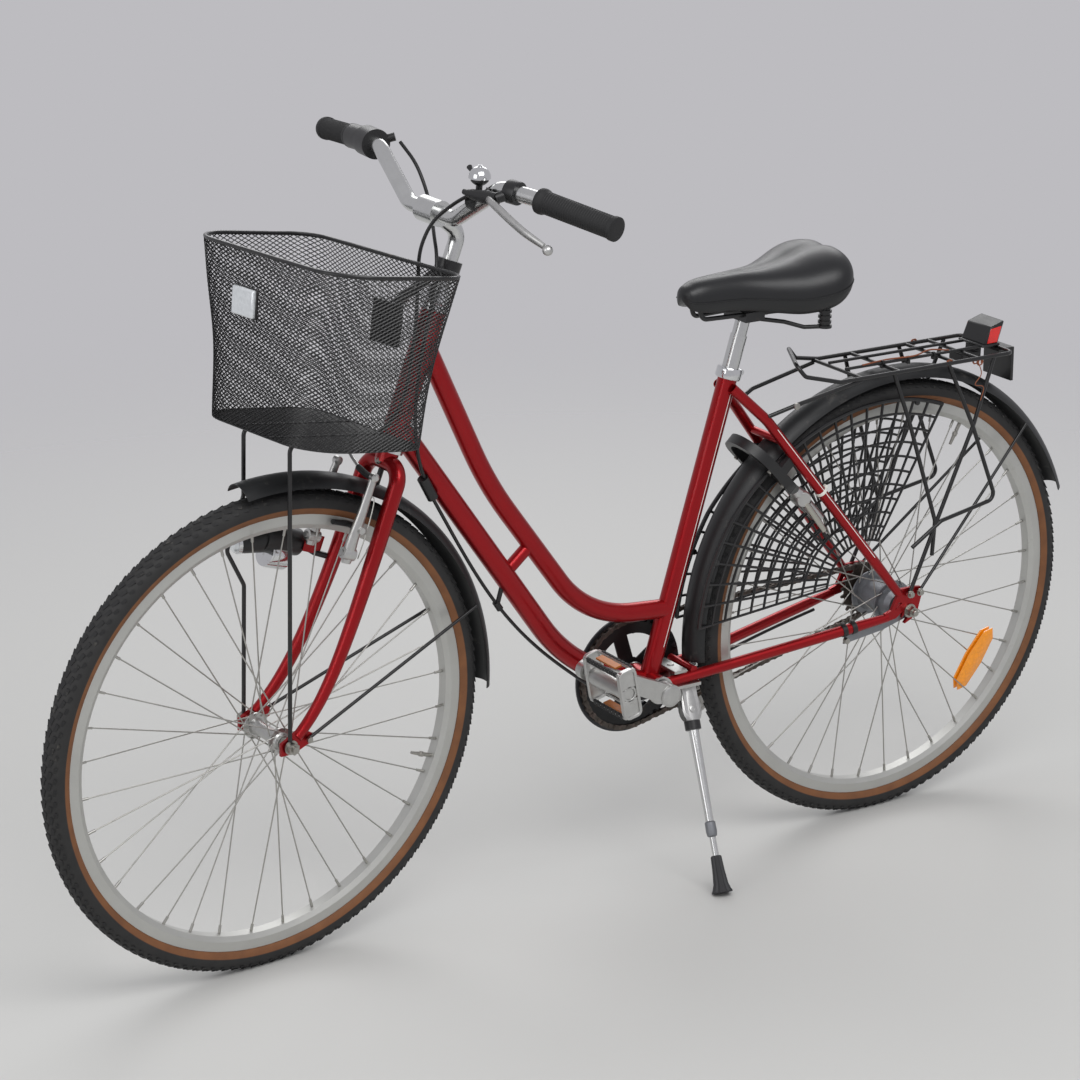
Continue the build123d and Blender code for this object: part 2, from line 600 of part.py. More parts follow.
strut_eye = Pos(WHEELBASE, 0, 0) * disc(9, front_out + 0.02, front_out + EYE_T + 0.02, AXLE_R + 0.1)
quill_ring = rod([head(666), head(692)], 18) - rod([head(665), head(693)], BAR_R + 0.02)
CARRIER_T = 10
carrier = basket_frame * (Pos(-BASKET_DEPTH - 4 - CARRIER_T / 2, 0, 147) * Box(CARRIER_T, 56, 58))
carrier_arm = rod([head(679, 10), in_basket(-BASKET_DEPTH - 4 - CARRIER_T / 2, 0, 165)], 7) - quill_ring
holder = (quill_ring + carrier_arm + carrier) - rod([head(600), head(700)], BAR_R + 0.02) - basket_solid
struts = group(left_strut + strut_eye, right_strut + mirrored(strut_eye), holder)
keep("basket_struts", struts, True)

# ---------------------------------------------------------------- rack, lamp, guards
RACK_REAR_X = -185
RACK_FRONT_X = 160
# The front hoop is bent askew: its left corner stands further ahead than its right one.
HOOP_MIDDLE_X = 196
HOOP_SKEW = 26
HOOP_RISE = 30


def rack_half(side):
    """Rail and half of the raised front hoop, on the left (1) or the right (-1)."""
    corner_x = HOOP_MIDDLE_X + side * HOOP_SKEW
    points = [(RACK_REAR_X, 0, RACK_Z), (RACK_REAR_X, RACK_HALF, RACK_Z), (corner_x - 70, RACK_HALF, RACK_Z),
              (corner_x - 16, RACK_HALF - 14, RACK_Z + 0.4 * HOOP_RISE), (corner_x, 44, RACK_Z + HOOP_RISE),
              (HOOP_MIDDLE_X, 0, RACK_Z + HOOP_RISE)]
    return rod([(x, side * y, z) for x, y, z in points], RACK_ROD_R, 12)


rack = rack_half(1) + rack_half(-1)
cross = [rod([(x, -RACK_HALF, RACK_Z), (x, RACK_HALF, RACK_Z)], RACK_ROD_R - 0.4) for x in (110, 37, -71,
    -116)]
lengthwise = [rod([(RACK_REAR_X, y, RACK_Z + 4.5), (110, y, RACK_Z + 4.5)], 2.4) for y in (-20, 20)]
leg_y = rear_out + RACK_ROD_R + 0.02
leg_foot = (5, leg_y, 29)
# The rear legs carry the rack; a hoop and a front wire are welded across each and end free.
rear_leg = rod([(-148, RACK_HALF - 1, RACK_Z - 2), (-109, 66, 281), (-41, 70, 131), leg_foot], RACK_ROD_R, 40)
front_wire = rod([(48, RACK_HALF - 1, RACK_Z - 2), (17, 66, 298), (-41, 69, 138), (-39, 69, 83)],
    RACK_ROD_R, 14)
hoop = rod([(-58, RACK_HALF - 1, RACK_Z - 2), (-106, 67, 281), (-161, 69, 155), (-52, 71, 137), (3, 71,
    103)], RACK_ROD_R, 12)
legs = rear_leg + front_wire + hoop
arm_end = (268, 40.5, 342)
arm = rod([(RACK_FRONT_X - 50, RACK_HALF - 2, RACK_Z - 4), (228, 52, 356), arm_end], RACK_ROD_R, 20)
PLATE_X = -214
rear_plate = plate([(RACK_REAR_X + 4, RACK_Z), (PLATE_X + 2, RACK_Z - 1), (PLATE_X, 328), (PLATE_X + 5, 328),
                    (PLATE_X + 7, RACK_Z - 6), (RACK_REAR_X + 4, RACK_Z - 5)], -32, 32)
rack_solids = rack + cross[0] + cross[1] + cross[2] + cross[3] + lengthwise[0] + lengthwise[1]
rack_solids = rack_solids + legs + mirrored(legs) + arm + mirrored(arm) + rear_plate
rack_solids -= group(both(solid_seat_stay), both(dropout))
keep("rear_rack", rack_solids)
lamp_base = RACK_Z + 7
lamp_side = [(-154, lamp_base), (-167, 416), (-194, 425), (-182, lamp_base)]
LAMP_HALF = 28
tail_lamp = plate(lamp_side, -LAMP_HALF, LAMP_HALF)
tail_lamp += plate([(-122, 378), (-122, 364), (-160, 362), (-160, lamp_base + 1), (-154, lamp_base + 1),
    (-154, 378)], -16, 16)
keep("tail_lamp", tail_lamp - rack_solids)


# Skirt guard: its strands leave one focus above the hub and end on the fender's edge.
GUARD_FOCUS = (66, 52)
GUARD_INNER = 0.215
GUARD_EDGE = ((4, 373), (30, 369), (54, 350), (104, 319))
GUARD_STEPS = 20


def guard_edge(angle):
    """Outer edge of the skirt guard at an angle from straight ahead, as (x, z)."""
    for (a0, r0), (a1, r1) in zip(GUARD_EDGE, GUARD_EDGE[1:]):
        if angle <= a1:
            return polar(lerp(r0, r1, (angle - a0) / (a1 - a0)), angle)[::2]


guard_angles = [lerp(GUARD_EDGE[0][0], GUARD_EDGE[-1][0], i / GUARD_STEPS) for i in range(GUARD_STEPS + 1)]
guard_high = [guard_edge(a) for a in guard_angles]
guard_low = [between(GUARD_FOCUS, p, GUARD_INNER) for p in reversed(guard_high)]
guard_face = make_face(Polyline(*guard_high, *guard_low, guard_high[0]))
GUARD_Y = 27.5
net = Plane(origin=(0, GUARD_Y, 0), x_dir=(1, 0, 0), z_dir=(0, -1, 0)) * extrude(guard_face, -1.2)
keep("skirt_guards", both(net - solid_seat_stay))

# Horseshoe lock that stands across the wheel, on lugs in front of the seat stays.
LOCK_ANGLE = 45.7
LOCK_ARCH_AT = 374
LOCK_OUTER = 46
LOCK_INNER = 35
LOCK_END = 283
LOCK_LEG = LOCK_ARCH_AT - LOCK_END
LOCK_HALF_T = 8
LUG_AT = 347
lock_back = math.radians(LOCK_ANGLE)
across_lock = (-math.sin(lock_back), 0, math.cos(lock_back))
lock_plane = Plane(origin=polar(LOCK_ARCH_AT, LOCK_ANGLE), x_dir=(0, 1, 0), z_dir=across_lock)
lock_face = Circle(LOCK_OUTER) + Pos(0, LOCK_LEG / 2) * Rectangle(2 * LOCK_OUTER, LOCK_LEG)
lock_face -= Circle(LOCK_INNER) + Pos(0, LOCK_LEG / 2 + 1) * Rectangle(2 * LOCK_INNER, LOCK_LEG + 2)
lock = lock_plane * extrude(lock_face, LOCK_HALF_T, both=True)
lug = Pos(LOCK_OUTER - 6, LOCK_ARCH_AT - LUG_AT, LOCK_HALF_T - 2) * Box(
    8, 16, 25, align=(Align.CENTER, Align.CENTER, Align.MIN))
lug = lock_plane * lug
lock = lock + lug + mirrored(lug) - seat_shell - solid_seat_stay - mirrored(solid_seat_stay)
keep("ring_lock", lock)

# ---------------------------------------------------------------- drive
def chain_circle(teeth):
    return CHAIN_PITCH / 2 / math.sin(math.pi / teeth)


RING_R = chain_circle(CHAINRING_TEETH)
SPROCKET_R = chain_circle(SPROCKET_TEETH)
CHAIN_Y = -CHAINLINE


def toothed(teeth, width, hole):
    """Sprocket with simple pointed teeth that stand in the chain."""
    pitch_r = chain_circle(teeth)
    outline = []
    for i in range(teeth):
        for offset, r in ((-0.28, pitch_r - 3.6), (-0.12, pitch_r + 2.6), (0.12, pitch_r + 2.6), (0.28,
            pitch_r - 3.6)):
            a = 2 * math.pi * (i + 0.5 + offset) / teeth
            outline.append((r * math.cos(a), r * math.sin(a)))
    face = make_face(Polyline(*outline, outline[0])) - Circle(hole)
    return Plane(origin=(0, CHAIN_Y + width / 2, 0), z_dir=(0, -1, 0)) * extrude(face, width)


TOOTH_T = 2.4
sprocket = toothed(SPROCKET_TEETH, TOOTH_T, 17.0)
sprocket += disc(18, CHAIN_Y - 3, -38.6, AXLE_R + RUNNING_FIT)
keep("rear_sprocket", sprocket)

GUARD_R = 93
SPIDER_ARMS = 5
spoke_arm = Pos(40, CHAIN_Y, 0) * Box(64, TOOTH_T, 24)
ring_plate = toothed(CHAINRING_TEETH, TOOTH_T, 64) + disc(26, CHAIN_Y - 1.2, CHAIN_Y + 1.2)
for i in range(SPIDER_ARMS):
    ring_plate += spoke_arm.rotate(Y_AXIS, 360 / SPIDER_ARMS * i)
guard_ring = disc(GUARD_R, CHAIN_Y - 7, CHAIN_Y - 4.8, 70)
guard_ring += disc(73, CHAIN_Y - 7, CHAIN_Y + 1.2, 68)
SPINDLE_R = 8
BOSS_IN = 39
BOSS_OUT = 61
EYE_IN = 56
EYE_OUT = 69
chainring = Pos(BB_X, 0, BB_Z) * (ring_plate + guard_ring)
spindle = Pos(BB_X, 0, BB_Z) * disc(SPINDLE_R, -BOSS_OUT, BOSS_OUT)
cup = Pos(BB_X, 0, BB_Z) * (disc(15.98, BB_SHELL_HALF - 12, BB_SHELL_HALF - 0.02, SPINDLE_R + RUNNING_FIT)
                            + disc(21, BB_SHELL_HALF, BB_SHELL_HALF + 3, SPINDLE_R + RUNNING_FIT))
keep("bracket_cups", both(cup))


def crank_arm(angle):
    """Left forged arm, flaring outward from the spindle to the pedal eye."""
    side_view = extrude(make_face(Polyline((0, 47), (0, BOSS_OUT), (CRANK_LENGTH, EYE_OUT), (CRANK_LENGTH,
        EYE_IN), (0, 47))), 20, both=True)
    top_view = plate([(0, -15), (CRANK_LENGTH, -11), (CRANK_LENGTH, 11), (0, 15)], 40, 80)
    arm = (side_view & top_view) + disc(17, BOSS_IN, BOSS_OUT + 2) + Pos(CRANK_LENGTH, 0, 0) * disc(14,
        EYE_IN, EYE_OUT)
    arm = arm.rotate(Y_AXIS, -angle)
    end = polar(CRANK_LENGTH, angle)
    arm -= Pos(*end) * disc(6.5 + RUNNING_FIT, EYE_IN - 1, EYE_OUT + 1)
    return Pos(BB_X, 0, BB_Z) * arm


left_arm = crank_arm(CRANK_ANGLE)
right_arm = mirrored(crank_arm(CRANK_ANGLE + 180))
crankset = left_arm + right_arm + spindle
keep("chainring", chainring - crankset)
keep("crankset", crankset)


def pedal(angle):
    """Left cage pedal: core on the axle, end plates, tread bars and axle."""
    tip = 178
    body = disc(6.5, EYE_IN, 84) + disc(9, EYE_OUT + 1, 78) + disc(13, 84, tip - 4)
    body += disc(10, 82, 86)
    for y in (86, tip - 4):
        body += Pos(0, y, 0) * Box(76, 4, 28)
    for x in (-33, 33):
        body += Pos(x, (86 + tip - 4) / 2, 0) * Box(10, tip - 90, 28)
    body = body.rotate(Y_AXIS, -PEDAL_ANGLE)
    end = polar(CRANK_LENGTH, angle)
    return Pos(BB_X + end[0], 0, BB_Z + end[2]) * body


keep("left_pedal", pedal(CRANK_ANGLE))
keep("right_pedal", mirrored(pedal(CRANK_ANGLE + 180)))

# Chain: a closed band round both sprockets, slotted for their teeth.
CHAIN_W = 7.4
CHAIN_H = 8.5


def hull_loop(r1, r2):
    return make_hull((Circle(r1).edges() + (Pos(BB_X, BB_Z) * Circle(r2)).edges()))


outer_loop = hull_loop(SPROCKET_R + CHAIN_H / 2, RING_R + CHAIN_H / 2)
inner_loop = hull_loop(SPROCKET_R - CHAIN_H / 2, RING_R - CHAIN_H / 2)
band = Plane(origin=(0, CHAIN_Y + CHAIN_W / 2, 0), x_dir=(1, 0, 0), z_dir=(0, -1,
    0)) * extrude(outer_loop - inner_loop, CHAIN_W)
tooth_room_out = hull_loop(SPROCKET_R + 3.3, RING_R + 3.3)
room = Plane(origin=(0, CHAIN_Y + 1.7, 0), x_dir=(1, 0, 0), z_dir=(0, -1, 0)) * extrude(tooth_room_out, 3.4)
keep("chain", band - room)

# ---------------------------------------------------------------- coaster arm
coaster = disc(15, COASTER_IN, COASTER_OUT)
coaster += plate([(-4, 14), (14, 6), (48, -13.5), (118, -23), (120, -35), (46, -26), (4, -15)], COASTER_IN,
    COASTER_OUT)
coaster -= disc(AXLE_R + 0.02, 0, 90)
keep("coaster_arm", coaster - solid_stay - cs_taper)

# ---------------------------------------------------------------- side stand
pivot = Vector(*STAND_PIVOT)
FOLDED = Vector(-0.99, 0.03, 0.1).normalized()


# ---------------------------------------------------------------- standing on the floor
def floor_height(lean):
    """Height of the floor under the hub line of the upright bicycle, tilted by the lean."""
    return TUBE_CENTRE_R * math.cos(lean) + TYRE_SECTION / 2


lean = math.radians(LEAN)
floor_drop = floor_height(lean)


def floor_under(x, y):
    """Where the floor lies in the upright bicycle's frame below a point."""
    return (math.sin(lean) * y - floor_drop) / math.cos(lean)


foot_z = floor_under(*STAND_FOOT)
foot = Vector(STAND_FOOT[0], STAND_FOOT[1], foot_z)
leg_dir = (foot - pivot).normalized()
hinge_axis = leg_dir.cross(FOLDED).normalized()
hinge = Plane(origin=pivot, x_dir=leg_dir.cross(hinge_axis), z_dir=hinge_axis)
LEG_R = 8
PIN_R = 4
CHEEK_R = 12
HUB_T = 11
CHEEK_T = 3
head_t = HUB_T + 2 * CHEEK_T + 0.4
UNDER_STAYS = -54.4
stand_block = hinge * (Pos(0, -30, 0) * Box(2 * CHEEK_R, 60, head_t) + Cylinder(CHEEK_R, head_t))
stand_block -= hinge * (Pos(0, 15, 0) * Box(60, 60, HUB_T + 0.4))
stand_block += hinge * Cylinder(PIN_R, head_t)
above_plate = Pos(pivot.X, 0, UNDER_STAYS - 5) * Box(200, 200, 100, align=(Align.CENTER, Align.CENTER,
    Align.MIN))
clamp_plate = Pos(392, 2, UNDER_STAYS - 5) * Box(44, 72, 5, align=(Align.CENTER, Align.CENTER, Align.MIN))
clamp_bolt = Pos(400, 0, UNDER_STAYS - 8) * Cylinder(5, 30, align=(Align.CENTER, Align.CENTER, Align.MIN))
top_clamp = Pos(401, 0, -39) * Box(22, 56, 5, align=(Align.CENTER, Align.CENTER, Align.MIN))
bracket = (stand_block - above_plate) + clamp_plate + clamp_bolt + top_clamp
bracket = bracket - solid_stay - mirrored(solid_stay) - down_outer - seat_shell
keep("stand_bracket", bracket)

hub = hinge * Cylinder(CHEEK_R - 1, HUB_T)
tongue = (hinge * Box(16, 60, HUB_T)) & rod([pivot, pivot + leg_dir * 20], 14)
stand_leg = (hub + tongue - hinge * Cylinder(PIN_R + RUNNING_FIT, 40)) + rod([pivot + leg_dir * 15,
    pivot + leg_dir * 255], LEG_R)
keep("stand_leg", stand_leg)
pad = rod([pivot + leg_dir * 235, foot + leg_dir * 20], 12.5)
floor_cut = Pos(foot.X, foot.Y, foot.Z) * (Rot(X=LEAN) * Box(120, 120, 80, align=(Align.CENTER,
    Align.CENTER, Align.MAX)))
pad -= floor_cut
pad -= stand_leg
keep("stand_foot", pad)

# ---------------------------------------------------------------- cables
CABLE_R = 2.5
clip_at = Vector(836, 15, 318)
loop_route = [hold_steered(head(*p)) for p in (
    (821, 33, -141), (806, 25, -112), (776, 14, -84), (744, 12, -54), (722, 24, -24), (708, 32, 0), (680,
        34, 20), (620, 28, 28))]
loop_route += [head(*p) for p in ((540, 12, 28), (470, -8, 27))] + [clip_at]
keep("gear_cable_loop", cord("gear_cable_loop", loop_route, CABLE_R))
down_route = [clip_at + Vector(-2, -1.5, -5), Vector(772, 4, 211), Vector(709, 0, 117), Vector(634, 0, 34),
    Vector(566, 0, -23),
              Vector(500, -4, -68), Vector(442, -10, -84), Vector(385, -18, -76), Vector(300, -34, -58),
                  Vector(180, -51, -38),
              Vector(80, -64, -26)]
gear_cable = cord("gear_cable", [tuple(p) for p in down_route], CABLE_R)
keep("gear_cable", gear_cable)
brake_route = [head(*p) for p in (
    (788, 86, 105), (774, 80, 78), (748, 84, 50), (705, 86, 36), (650, 70, 38), (580, 50, 40), (500, 34,
        38), (440, 35, 14),
    (416, 46, -16), (399, 46, -33))]
front_cable = cord("front_brake_cable", brake_route, CABLE_R)
keep("front_brake_cable", front_cable, True)

guide_top = rod([clip_at + Vector(8, 0, 14), clip_at - Vector(10, 2, 18)], 8)
guide_low = rod([(712, 0, 122), (704, 0, 110)], 5) + rod([(709, 0, 117), (700, 0, 150)], 3.5)
guide_bb = Pos(BB_X, -10, BB_Z - 23) * Box(30, 18, 8)
cable_paths = gear_cable + nodes["gear_cable_loop"]
guides = group(guide_top - down_outer - cable_paths, guide_low - down_outer - cable_paths,
    guide_bb - bb_shell - cable_paths)
keep("cable_guides", guides)

# ---------------------------------------------------------------- front brake and lamp
BRAKE_AHEAD = 45
boss = rod([head(275, 2, 43), head(275, BRAKE_AHEAD + 8, 43)], 5)
arm_side = rod([head(272, BRAKE_AHEAD, 43), head(383, BRAKE_AHEAD, 44)], 6)
pad_block = rod([head(311, BRAKE_AHEAD - 25, 18), head(311, BRAKE_AHEAD + 25, 18)], 3.6)
pad_post = rod([head(311, BRAKE_AHEAD, 19), head(311, BRAKE_AHEAD, 42)], 3)
noodle = rod([head(398, BRAKE_AHEAD + 1, -34), head(386, BRAKE_AHEAD + 1, -34), head(384, BRAKE_AHEAD, 0),
    head(384, BRAKE_AHEAD, 43)], 3, 5)
brake_side = boss + arm_side + pad_block + pad_post
front_brake = brake_side + mirrored(brake_side) + noodle - fork - front_cable
keep("front_brake", front_brake, True)

LAMP_UP = 256
lamp_shell = cone(head(LAMP_UP, 44, -72), head(LAMP_UP - 2, 108, -73), 19, 23)
lamp_neck = cone(head(LAMP_UP - 2, 108, -73), head(LAMP_UP - 16, 138, -76), 20, 15)
lamp_glass = cone(head(LAMP_UP - 16, 138, -76), head(LAMP_UP - 22, 152, -78), 18, 17)
lamp_bracket = rod([head(250, 4, -45), head(250, 30, -56), head(LAMP_UP, 50, -66)], 5, 10)
keep("headlamp", lamp_shell + lamp_neck + lamp_glass + lamp_bracket - fork, True)

# ---------------------------------------------------------------- wheel reflector
WHEEL_REFLECTOR_R = 244
reflector_at = polar(WHEEL_REFLECTOR_R, 215)
REFLECTOR_HALF = 57
lens_outline = [(0, REFLECTOR_HALF), (12, REFLECTOR_HALF - 14), (16, 0), (12, 14 - REFLECTOR_HALF), (0,
    -REFLECTOR_HALF),
                (-12, 14 - REFLECTOR_HALF), (-16, 0), (-12, REFLECTOR_HALF - 14)]
reflector = Pos(reflector_at[0], 0, reflector_at[2]) * plate(lens_outline, -4, 4).rotate(Y_AXIS, -215)
keep("wheel_reflector", reflector - nodes["rear_spokes"])

# ---------------------------------------------------------------- lean on the stand and write
# The origin is the middle of the underside of the whole bicycle's box, as it leans.
steer_axis = Axis(HEAD_FOOT, HEAD_UP)
settle = Pos(0, 0, floor_drop) * Rot(X=-LEAN)
placed = {}
for name, shape in nodes.items():
    if name in steered:
        shape = shape.rotate(steer_axis, STEER)
    placed[name] = settle * shape
boxes = [shape.bounding_box() for shape in placed.values()]
middle_x = (min(b.min.X for b in boxes) + max(b.max.X for b in boxes)) / 2
middle_y = (min(b.min.Y for b in boxes) + max(b.max.Y for b in boxes)) / 2
print("origin moved by", round(-middle_x, 3), round(-middle_y, 3))
for name, shape in placed.items():
    solids = (Pos(-middle_x, -middle_y, 0) * shape).solids()
    out = Compound(children=list(solids)) if len(solids) > 1 else solids[0]
    export_step(out, f"parts/{name}.step")
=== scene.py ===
import json
import math
import bpy
import numpy as np
from mathutils import Matrix, Vector


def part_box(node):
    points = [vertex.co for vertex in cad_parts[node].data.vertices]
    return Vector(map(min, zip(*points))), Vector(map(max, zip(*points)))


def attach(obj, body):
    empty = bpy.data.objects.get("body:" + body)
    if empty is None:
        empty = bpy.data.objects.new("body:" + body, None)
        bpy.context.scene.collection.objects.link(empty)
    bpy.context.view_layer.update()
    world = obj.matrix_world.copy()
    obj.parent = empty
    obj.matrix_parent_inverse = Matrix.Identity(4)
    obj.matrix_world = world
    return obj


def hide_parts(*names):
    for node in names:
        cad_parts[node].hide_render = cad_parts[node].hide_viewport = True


# City bicycle. All shapes below are written in millimetres on the upright bicycle, with the rear
# axle's centre at the origin, +X forward and +Y to the left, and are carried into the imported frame
# by the record's own joints: the rear axle gives the lean, the front axle the turned steering.
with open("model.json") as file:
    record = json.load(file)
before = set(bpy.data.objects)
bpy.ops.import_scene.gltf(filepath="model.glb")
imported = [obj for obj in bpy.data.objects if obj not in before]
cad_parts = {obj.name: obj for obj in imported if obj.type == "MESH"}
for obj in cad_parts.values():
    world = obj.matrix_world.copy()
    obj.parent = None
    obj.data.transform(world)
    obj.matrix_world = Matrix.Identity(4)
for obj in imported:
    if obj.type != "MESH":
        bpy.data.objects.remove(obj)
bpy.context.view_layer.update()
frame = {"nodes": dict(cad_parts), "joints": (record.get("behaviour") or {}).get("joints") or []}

MM = 0.001
JOINTS = {joint["name"]: joint for joint in frame["joints"]}


def vec(*values):
    return np.array(values, float)


def joint_pos(name):
    return np.array(JOINTS[name]["pos_m"], float)


def joint_axis(name):
    axis = np.array(JOINTS[name]["axis"], float)
    return axis / np.linalg.norm(axis)


REAR = joint_pos("rear_wheel_spin")
SIDE = joint_axis("rear_wheel_spin")
FORWARD = vec(1.0, 0, 0)
RISE = np.cross(FORWARD, SIDE)
UPRIGHT = np.eye(4)
UPRIGHT[:3, 0] = FORWARD * MM
UPRIGHT[:3, 1] = SIDE * MM
UPRIGHT[:3, 2] = RISE * MM
UPRIGHT[:3, 3] = REAR
STEER_AXIS = joint_axis("steering")
FRONT_SIDE = joint_axis("front_wheel_spin")
turn = math.atan2(np.dot(np.cross(SIDE, FRONT_SIDE), STEER_AXIS), np.dot(SIDE, FRONT_SIDE))
about = Matrix.Translation(joint_pos("steering")) @ Matrix.Rotation(turn, 4, Vector(STEER_AXIS))
about = about @ Matrix.Translation(-Vector(joint_pos("steering")))
STEERED = np.array(about) @ UPRIGHT


def upright(point):
    """A packed-frame point in metres as millimetres on the upright bicycle."""
    return (np.linalg.inv(UPRIGHT) @ np.append(point, 1))[:3]


HEAD_MARK = upright(joint_pos("steering"))
HEAD_MARK_UP = 450
HEAD_UP = np.linalg.inv(UPRIGHT[:3, :3]) @ STEER_AXIS
HEAD_UP = HEAD_UP / np.linalg.norm(HEAD_UP)
HEAD_AHEAD = np.cross([0, 1, 0], HEAD_UP)


def head(up, ahead=0.0, side=0.0):
    """A point by its distance up the steering axis, ahead of it and to its left."""
    return HEAD_MARK + HEAD_UP * (up - HEAD_MARK_UP) + HEAD_AHEAD * ahead + vec(0, side, 0)


FRONT = (np.linalg.inv(STEERED) @ np.append(joint_pos("front_wheel_spin"), 1))[:3]
BB = upright(joint_pos("crank_spin"))


# ---------------------------------------------------------------- materials
def to_linear(hex_colour):
    """A colour written as sRGB hex, as the linear values that the shader works in."""
    values = [int(hex_colour[i:i + 2], 16) / 255 for i in (1, 3, 5)]
    linear = [v / 12.92 if v <= 0.04045 else ((v + 0.055) / 1.055) ** 2.4 for v in values]
    return (*linear, 1.0)


def add(tree, kind, links=(), **settings):
    """Adds one shader node, sets its inputs and properties, and links what feeds it."""
    node = tree.nodes.new(kind)
    for key, value in settings.items():
        if key in node.inputs:
            node.inputs[key].default_value = value
        elif key.replace("_", " ") in node.inputs:
            node.inputs[key.replace("_", " ")].default_value = value
        else:
            setattr(node, key, value)
    for socket, source in links:
        tree.links.new(source, node.inputs[socket])
    return node


def material(name, colour, rough, metallic=0.0, ior=1.5, coat=0.0, mottle=None, grain=None,
             dirt=None, painted_flake_glint=0.0):
    """Colour drift, painted flake glints, fine bump and dirt in object space.

    mottle and grain are (amount, size in mm), and dirt is (colour, amount, size in mm).
    """
    mat = bpy.data.materials.new(name)
    mat.use_nodes = True
    tree = mat.node_tree
    tree.nodes.clear()
    out = add(tree, "ShaderNodeOutputMaterial")
    body = add(tree, "ShaderNodeBsdfPrincipled", Roughness=rough, Metallic=metallic, IOR=ior)
    body.inputs["Coat Weight"].default_value = coat
    body.inputs["Coat Roughness"].default_value = 0.05
    tree.links.new(body.outputs["BSDF"], out.inputs["Surface"])
    place = add(tree, "ShaderNodeTexCoord")
    base = add(tree, "ShaderNodeRGB")
    base.outputs[0].default_value = to_linear(colour)
    shade = base.outputs[0]
    if mottle:
        amount, size_mm = mottle
        drift = add(tree, "ShaderNodeTexNoise", [("Vector", place.outputs["Object"])],
                    Scale=1000.0 / size_mm, Detail=4.0, Roughness=0.6)
        spread = add(tree, "ShaderNodeMapRange", [("Value", drift.outputs["Fac"])],
                     From_Min=0.3, From_Max=0.7, To_Min=1 - amount, To_Max=1 + amount)
        tint = add(tree, "ShaderNodeVectorMath", [(0, shade), (1, spread.outputs["Result"])],
                   operation="MULTIPLY")
        shade = tint.outputs["Vector"]
        worn = add(tree, "ShaderNodeMapRange", [("Value", drift.outputs["Fac"])],
                   To_Min=rough * 0.8, To_Max=min(1.0, rough * 1.25))
        tree.links.new(worn.outputs["Result"], body.inputs["Roughness"])
    # painted glints: tiny specks brightened in the base colour stand in for the sparkle of the
    # lacquer's metal flakes
    if painted_flake_glint:
        specks = add(tree, "ShaderNodeTexVoronoi", [("Vector", place.outputs["Object"])],
                     Scale=2500.0)
        glint = add(tree, "ShaderNodeMapRange", [("Value", specks.outputs["Distance"])],
                    To_Min=1 + painted_flake_glint, To_Max=1 - painted_flake_glint)
        spark = add(tree, "ShaderNodeVectorMath", [(0, shade), (1, glint.outputs["Result"])],
                    operation="MULTIPLY")
        shade = spark.outputs["Vector"]
    if dirt:
        soil_colour, amount, size_mm = dirt
        patch = add(tree, "ShaderNodeTexNoise", [("Vector", place.outputs["Object"])],
                    Scale=1000.0 / size_mm, Detail=6.0, Roughness=0.7)
        mask = add(tree, "ShaderNodeMapRange", [("Value", patch.outputs["Fac"])],
                   From_Min=0.65 - 0.3 * amount, From_Max=0.75, To_Max=min(1.0, 0.4 + amount))
        soil = add(tree, "ShaderNodeMix", [("Factor", mask.outputs["Result"])], data_type="RGBA")
        tree.links.new(shade, soil.inputs[6])
        soil.inputs[7].default_value = to_linear(soil_colour)
        shade = soil.outputs[2]
        if metallic:
            dull = add(tree, "ShaderNodeMapRange", [("Value", mask.outputs["Result"])],
                       To_Min=metallic, To_Max=metallic * 0.2)
            tree.links.new(dull.outputs["Result"], body.inputs["Metallic"])
    tree.links.new(shade, body.inputs["Base Color"])
    if grain:
        amount, size_mm = grain
        fine = add(tree, "ShaderNodeTexNoise", [("Vector", place.outputs["Object"])],
                   Scale=1000.0 / size_mm, Detail=3.0)
        bump = add(tree, "ShaderNodeBump", [("Height", fine.outputs["Fac"])], Strength=amount,
                   Distance=0.0005)
        tree.links.new(bump.outputs["Normal"], body.inputs["Normal"])
    return mat


# Wine-red metallic lacquer over steel tube, sprayed, with a clear coat.
# its flakes' sparkle is painted into the colour as brighter specks, a painted glint
RED = material("red_metallic_lacquer_sprayed", "#9c0812", 0.34, 0.78, 1.5, coat=0.3,
               mottle=(0.06, 90), painted_flake_glint=0.1)
# Aluminium forged or cast and tumbled, left bare.
ALLOY = material("aluminium_cast_tumbled", "#c4c4c2", 0.36, 1.0, 1.45, mottle=(0.06, 14),
                 grain=(0.1, 0.8), dirt=("#77736c", 0.12, 25))
# Aluminium tube polished and clear-lacquered, as on the bar, stem and post.
BRIGHT = material("aluminium_tube_polished", "#d2d3d2", 0.2, 1.0, 1.45, mottle=(0.04, 30))
# Steel plated with chrome.
CHROME = material("steel_chrome_plated", "#d8d9da", 0.1, 1.0, 2.5, mottle=(0.04, 20),
                  dirt=("#6d6459", 0.08, 18))
# Rim: extruded aluminium, rolled and silver anodised.
RIM = material("aluminium_rim_anodised", "#bcbcb8", 0.42, 0.7, 1.45, mottle=(0.04, 50),
               dirt=("#8b8781", 0.1, 40))
# Spokes: drawn galvanised steel wire.
WIRE = material("steel_wire_galvanised", "#b1b0ab", 0.34, 1.0, 2.5, mottle=(0.08, 12))
# Nuts and bolts: zinc-plated steel, a little dull.
BOLT = material("steel_bolt_zinc_plated", "#a8a6a0", 0.32, 1.0, 2.5, mottle=(0.08, 6),
                dirt=("#6b5138", 0.2, 8))
# Fenders: black polypropylene, injection moulded, dusty and scuffed.
FENDER = material("polypropylene_moulded_dusty", "#18191a", 0.42, 0.0, 1.49, mottle=(0.1, 70),
                  grain=(0.08, 1.2), dirt=("#5d5954", 0.22, 35))
# Small fittings: black nylon, moulded.
PLASTIC = material("nylon_moulded_black", "#161617", 0.38, 0.0, 1.53, mottle=(0.06, 20),
                   grain=(0.05, 0.7))
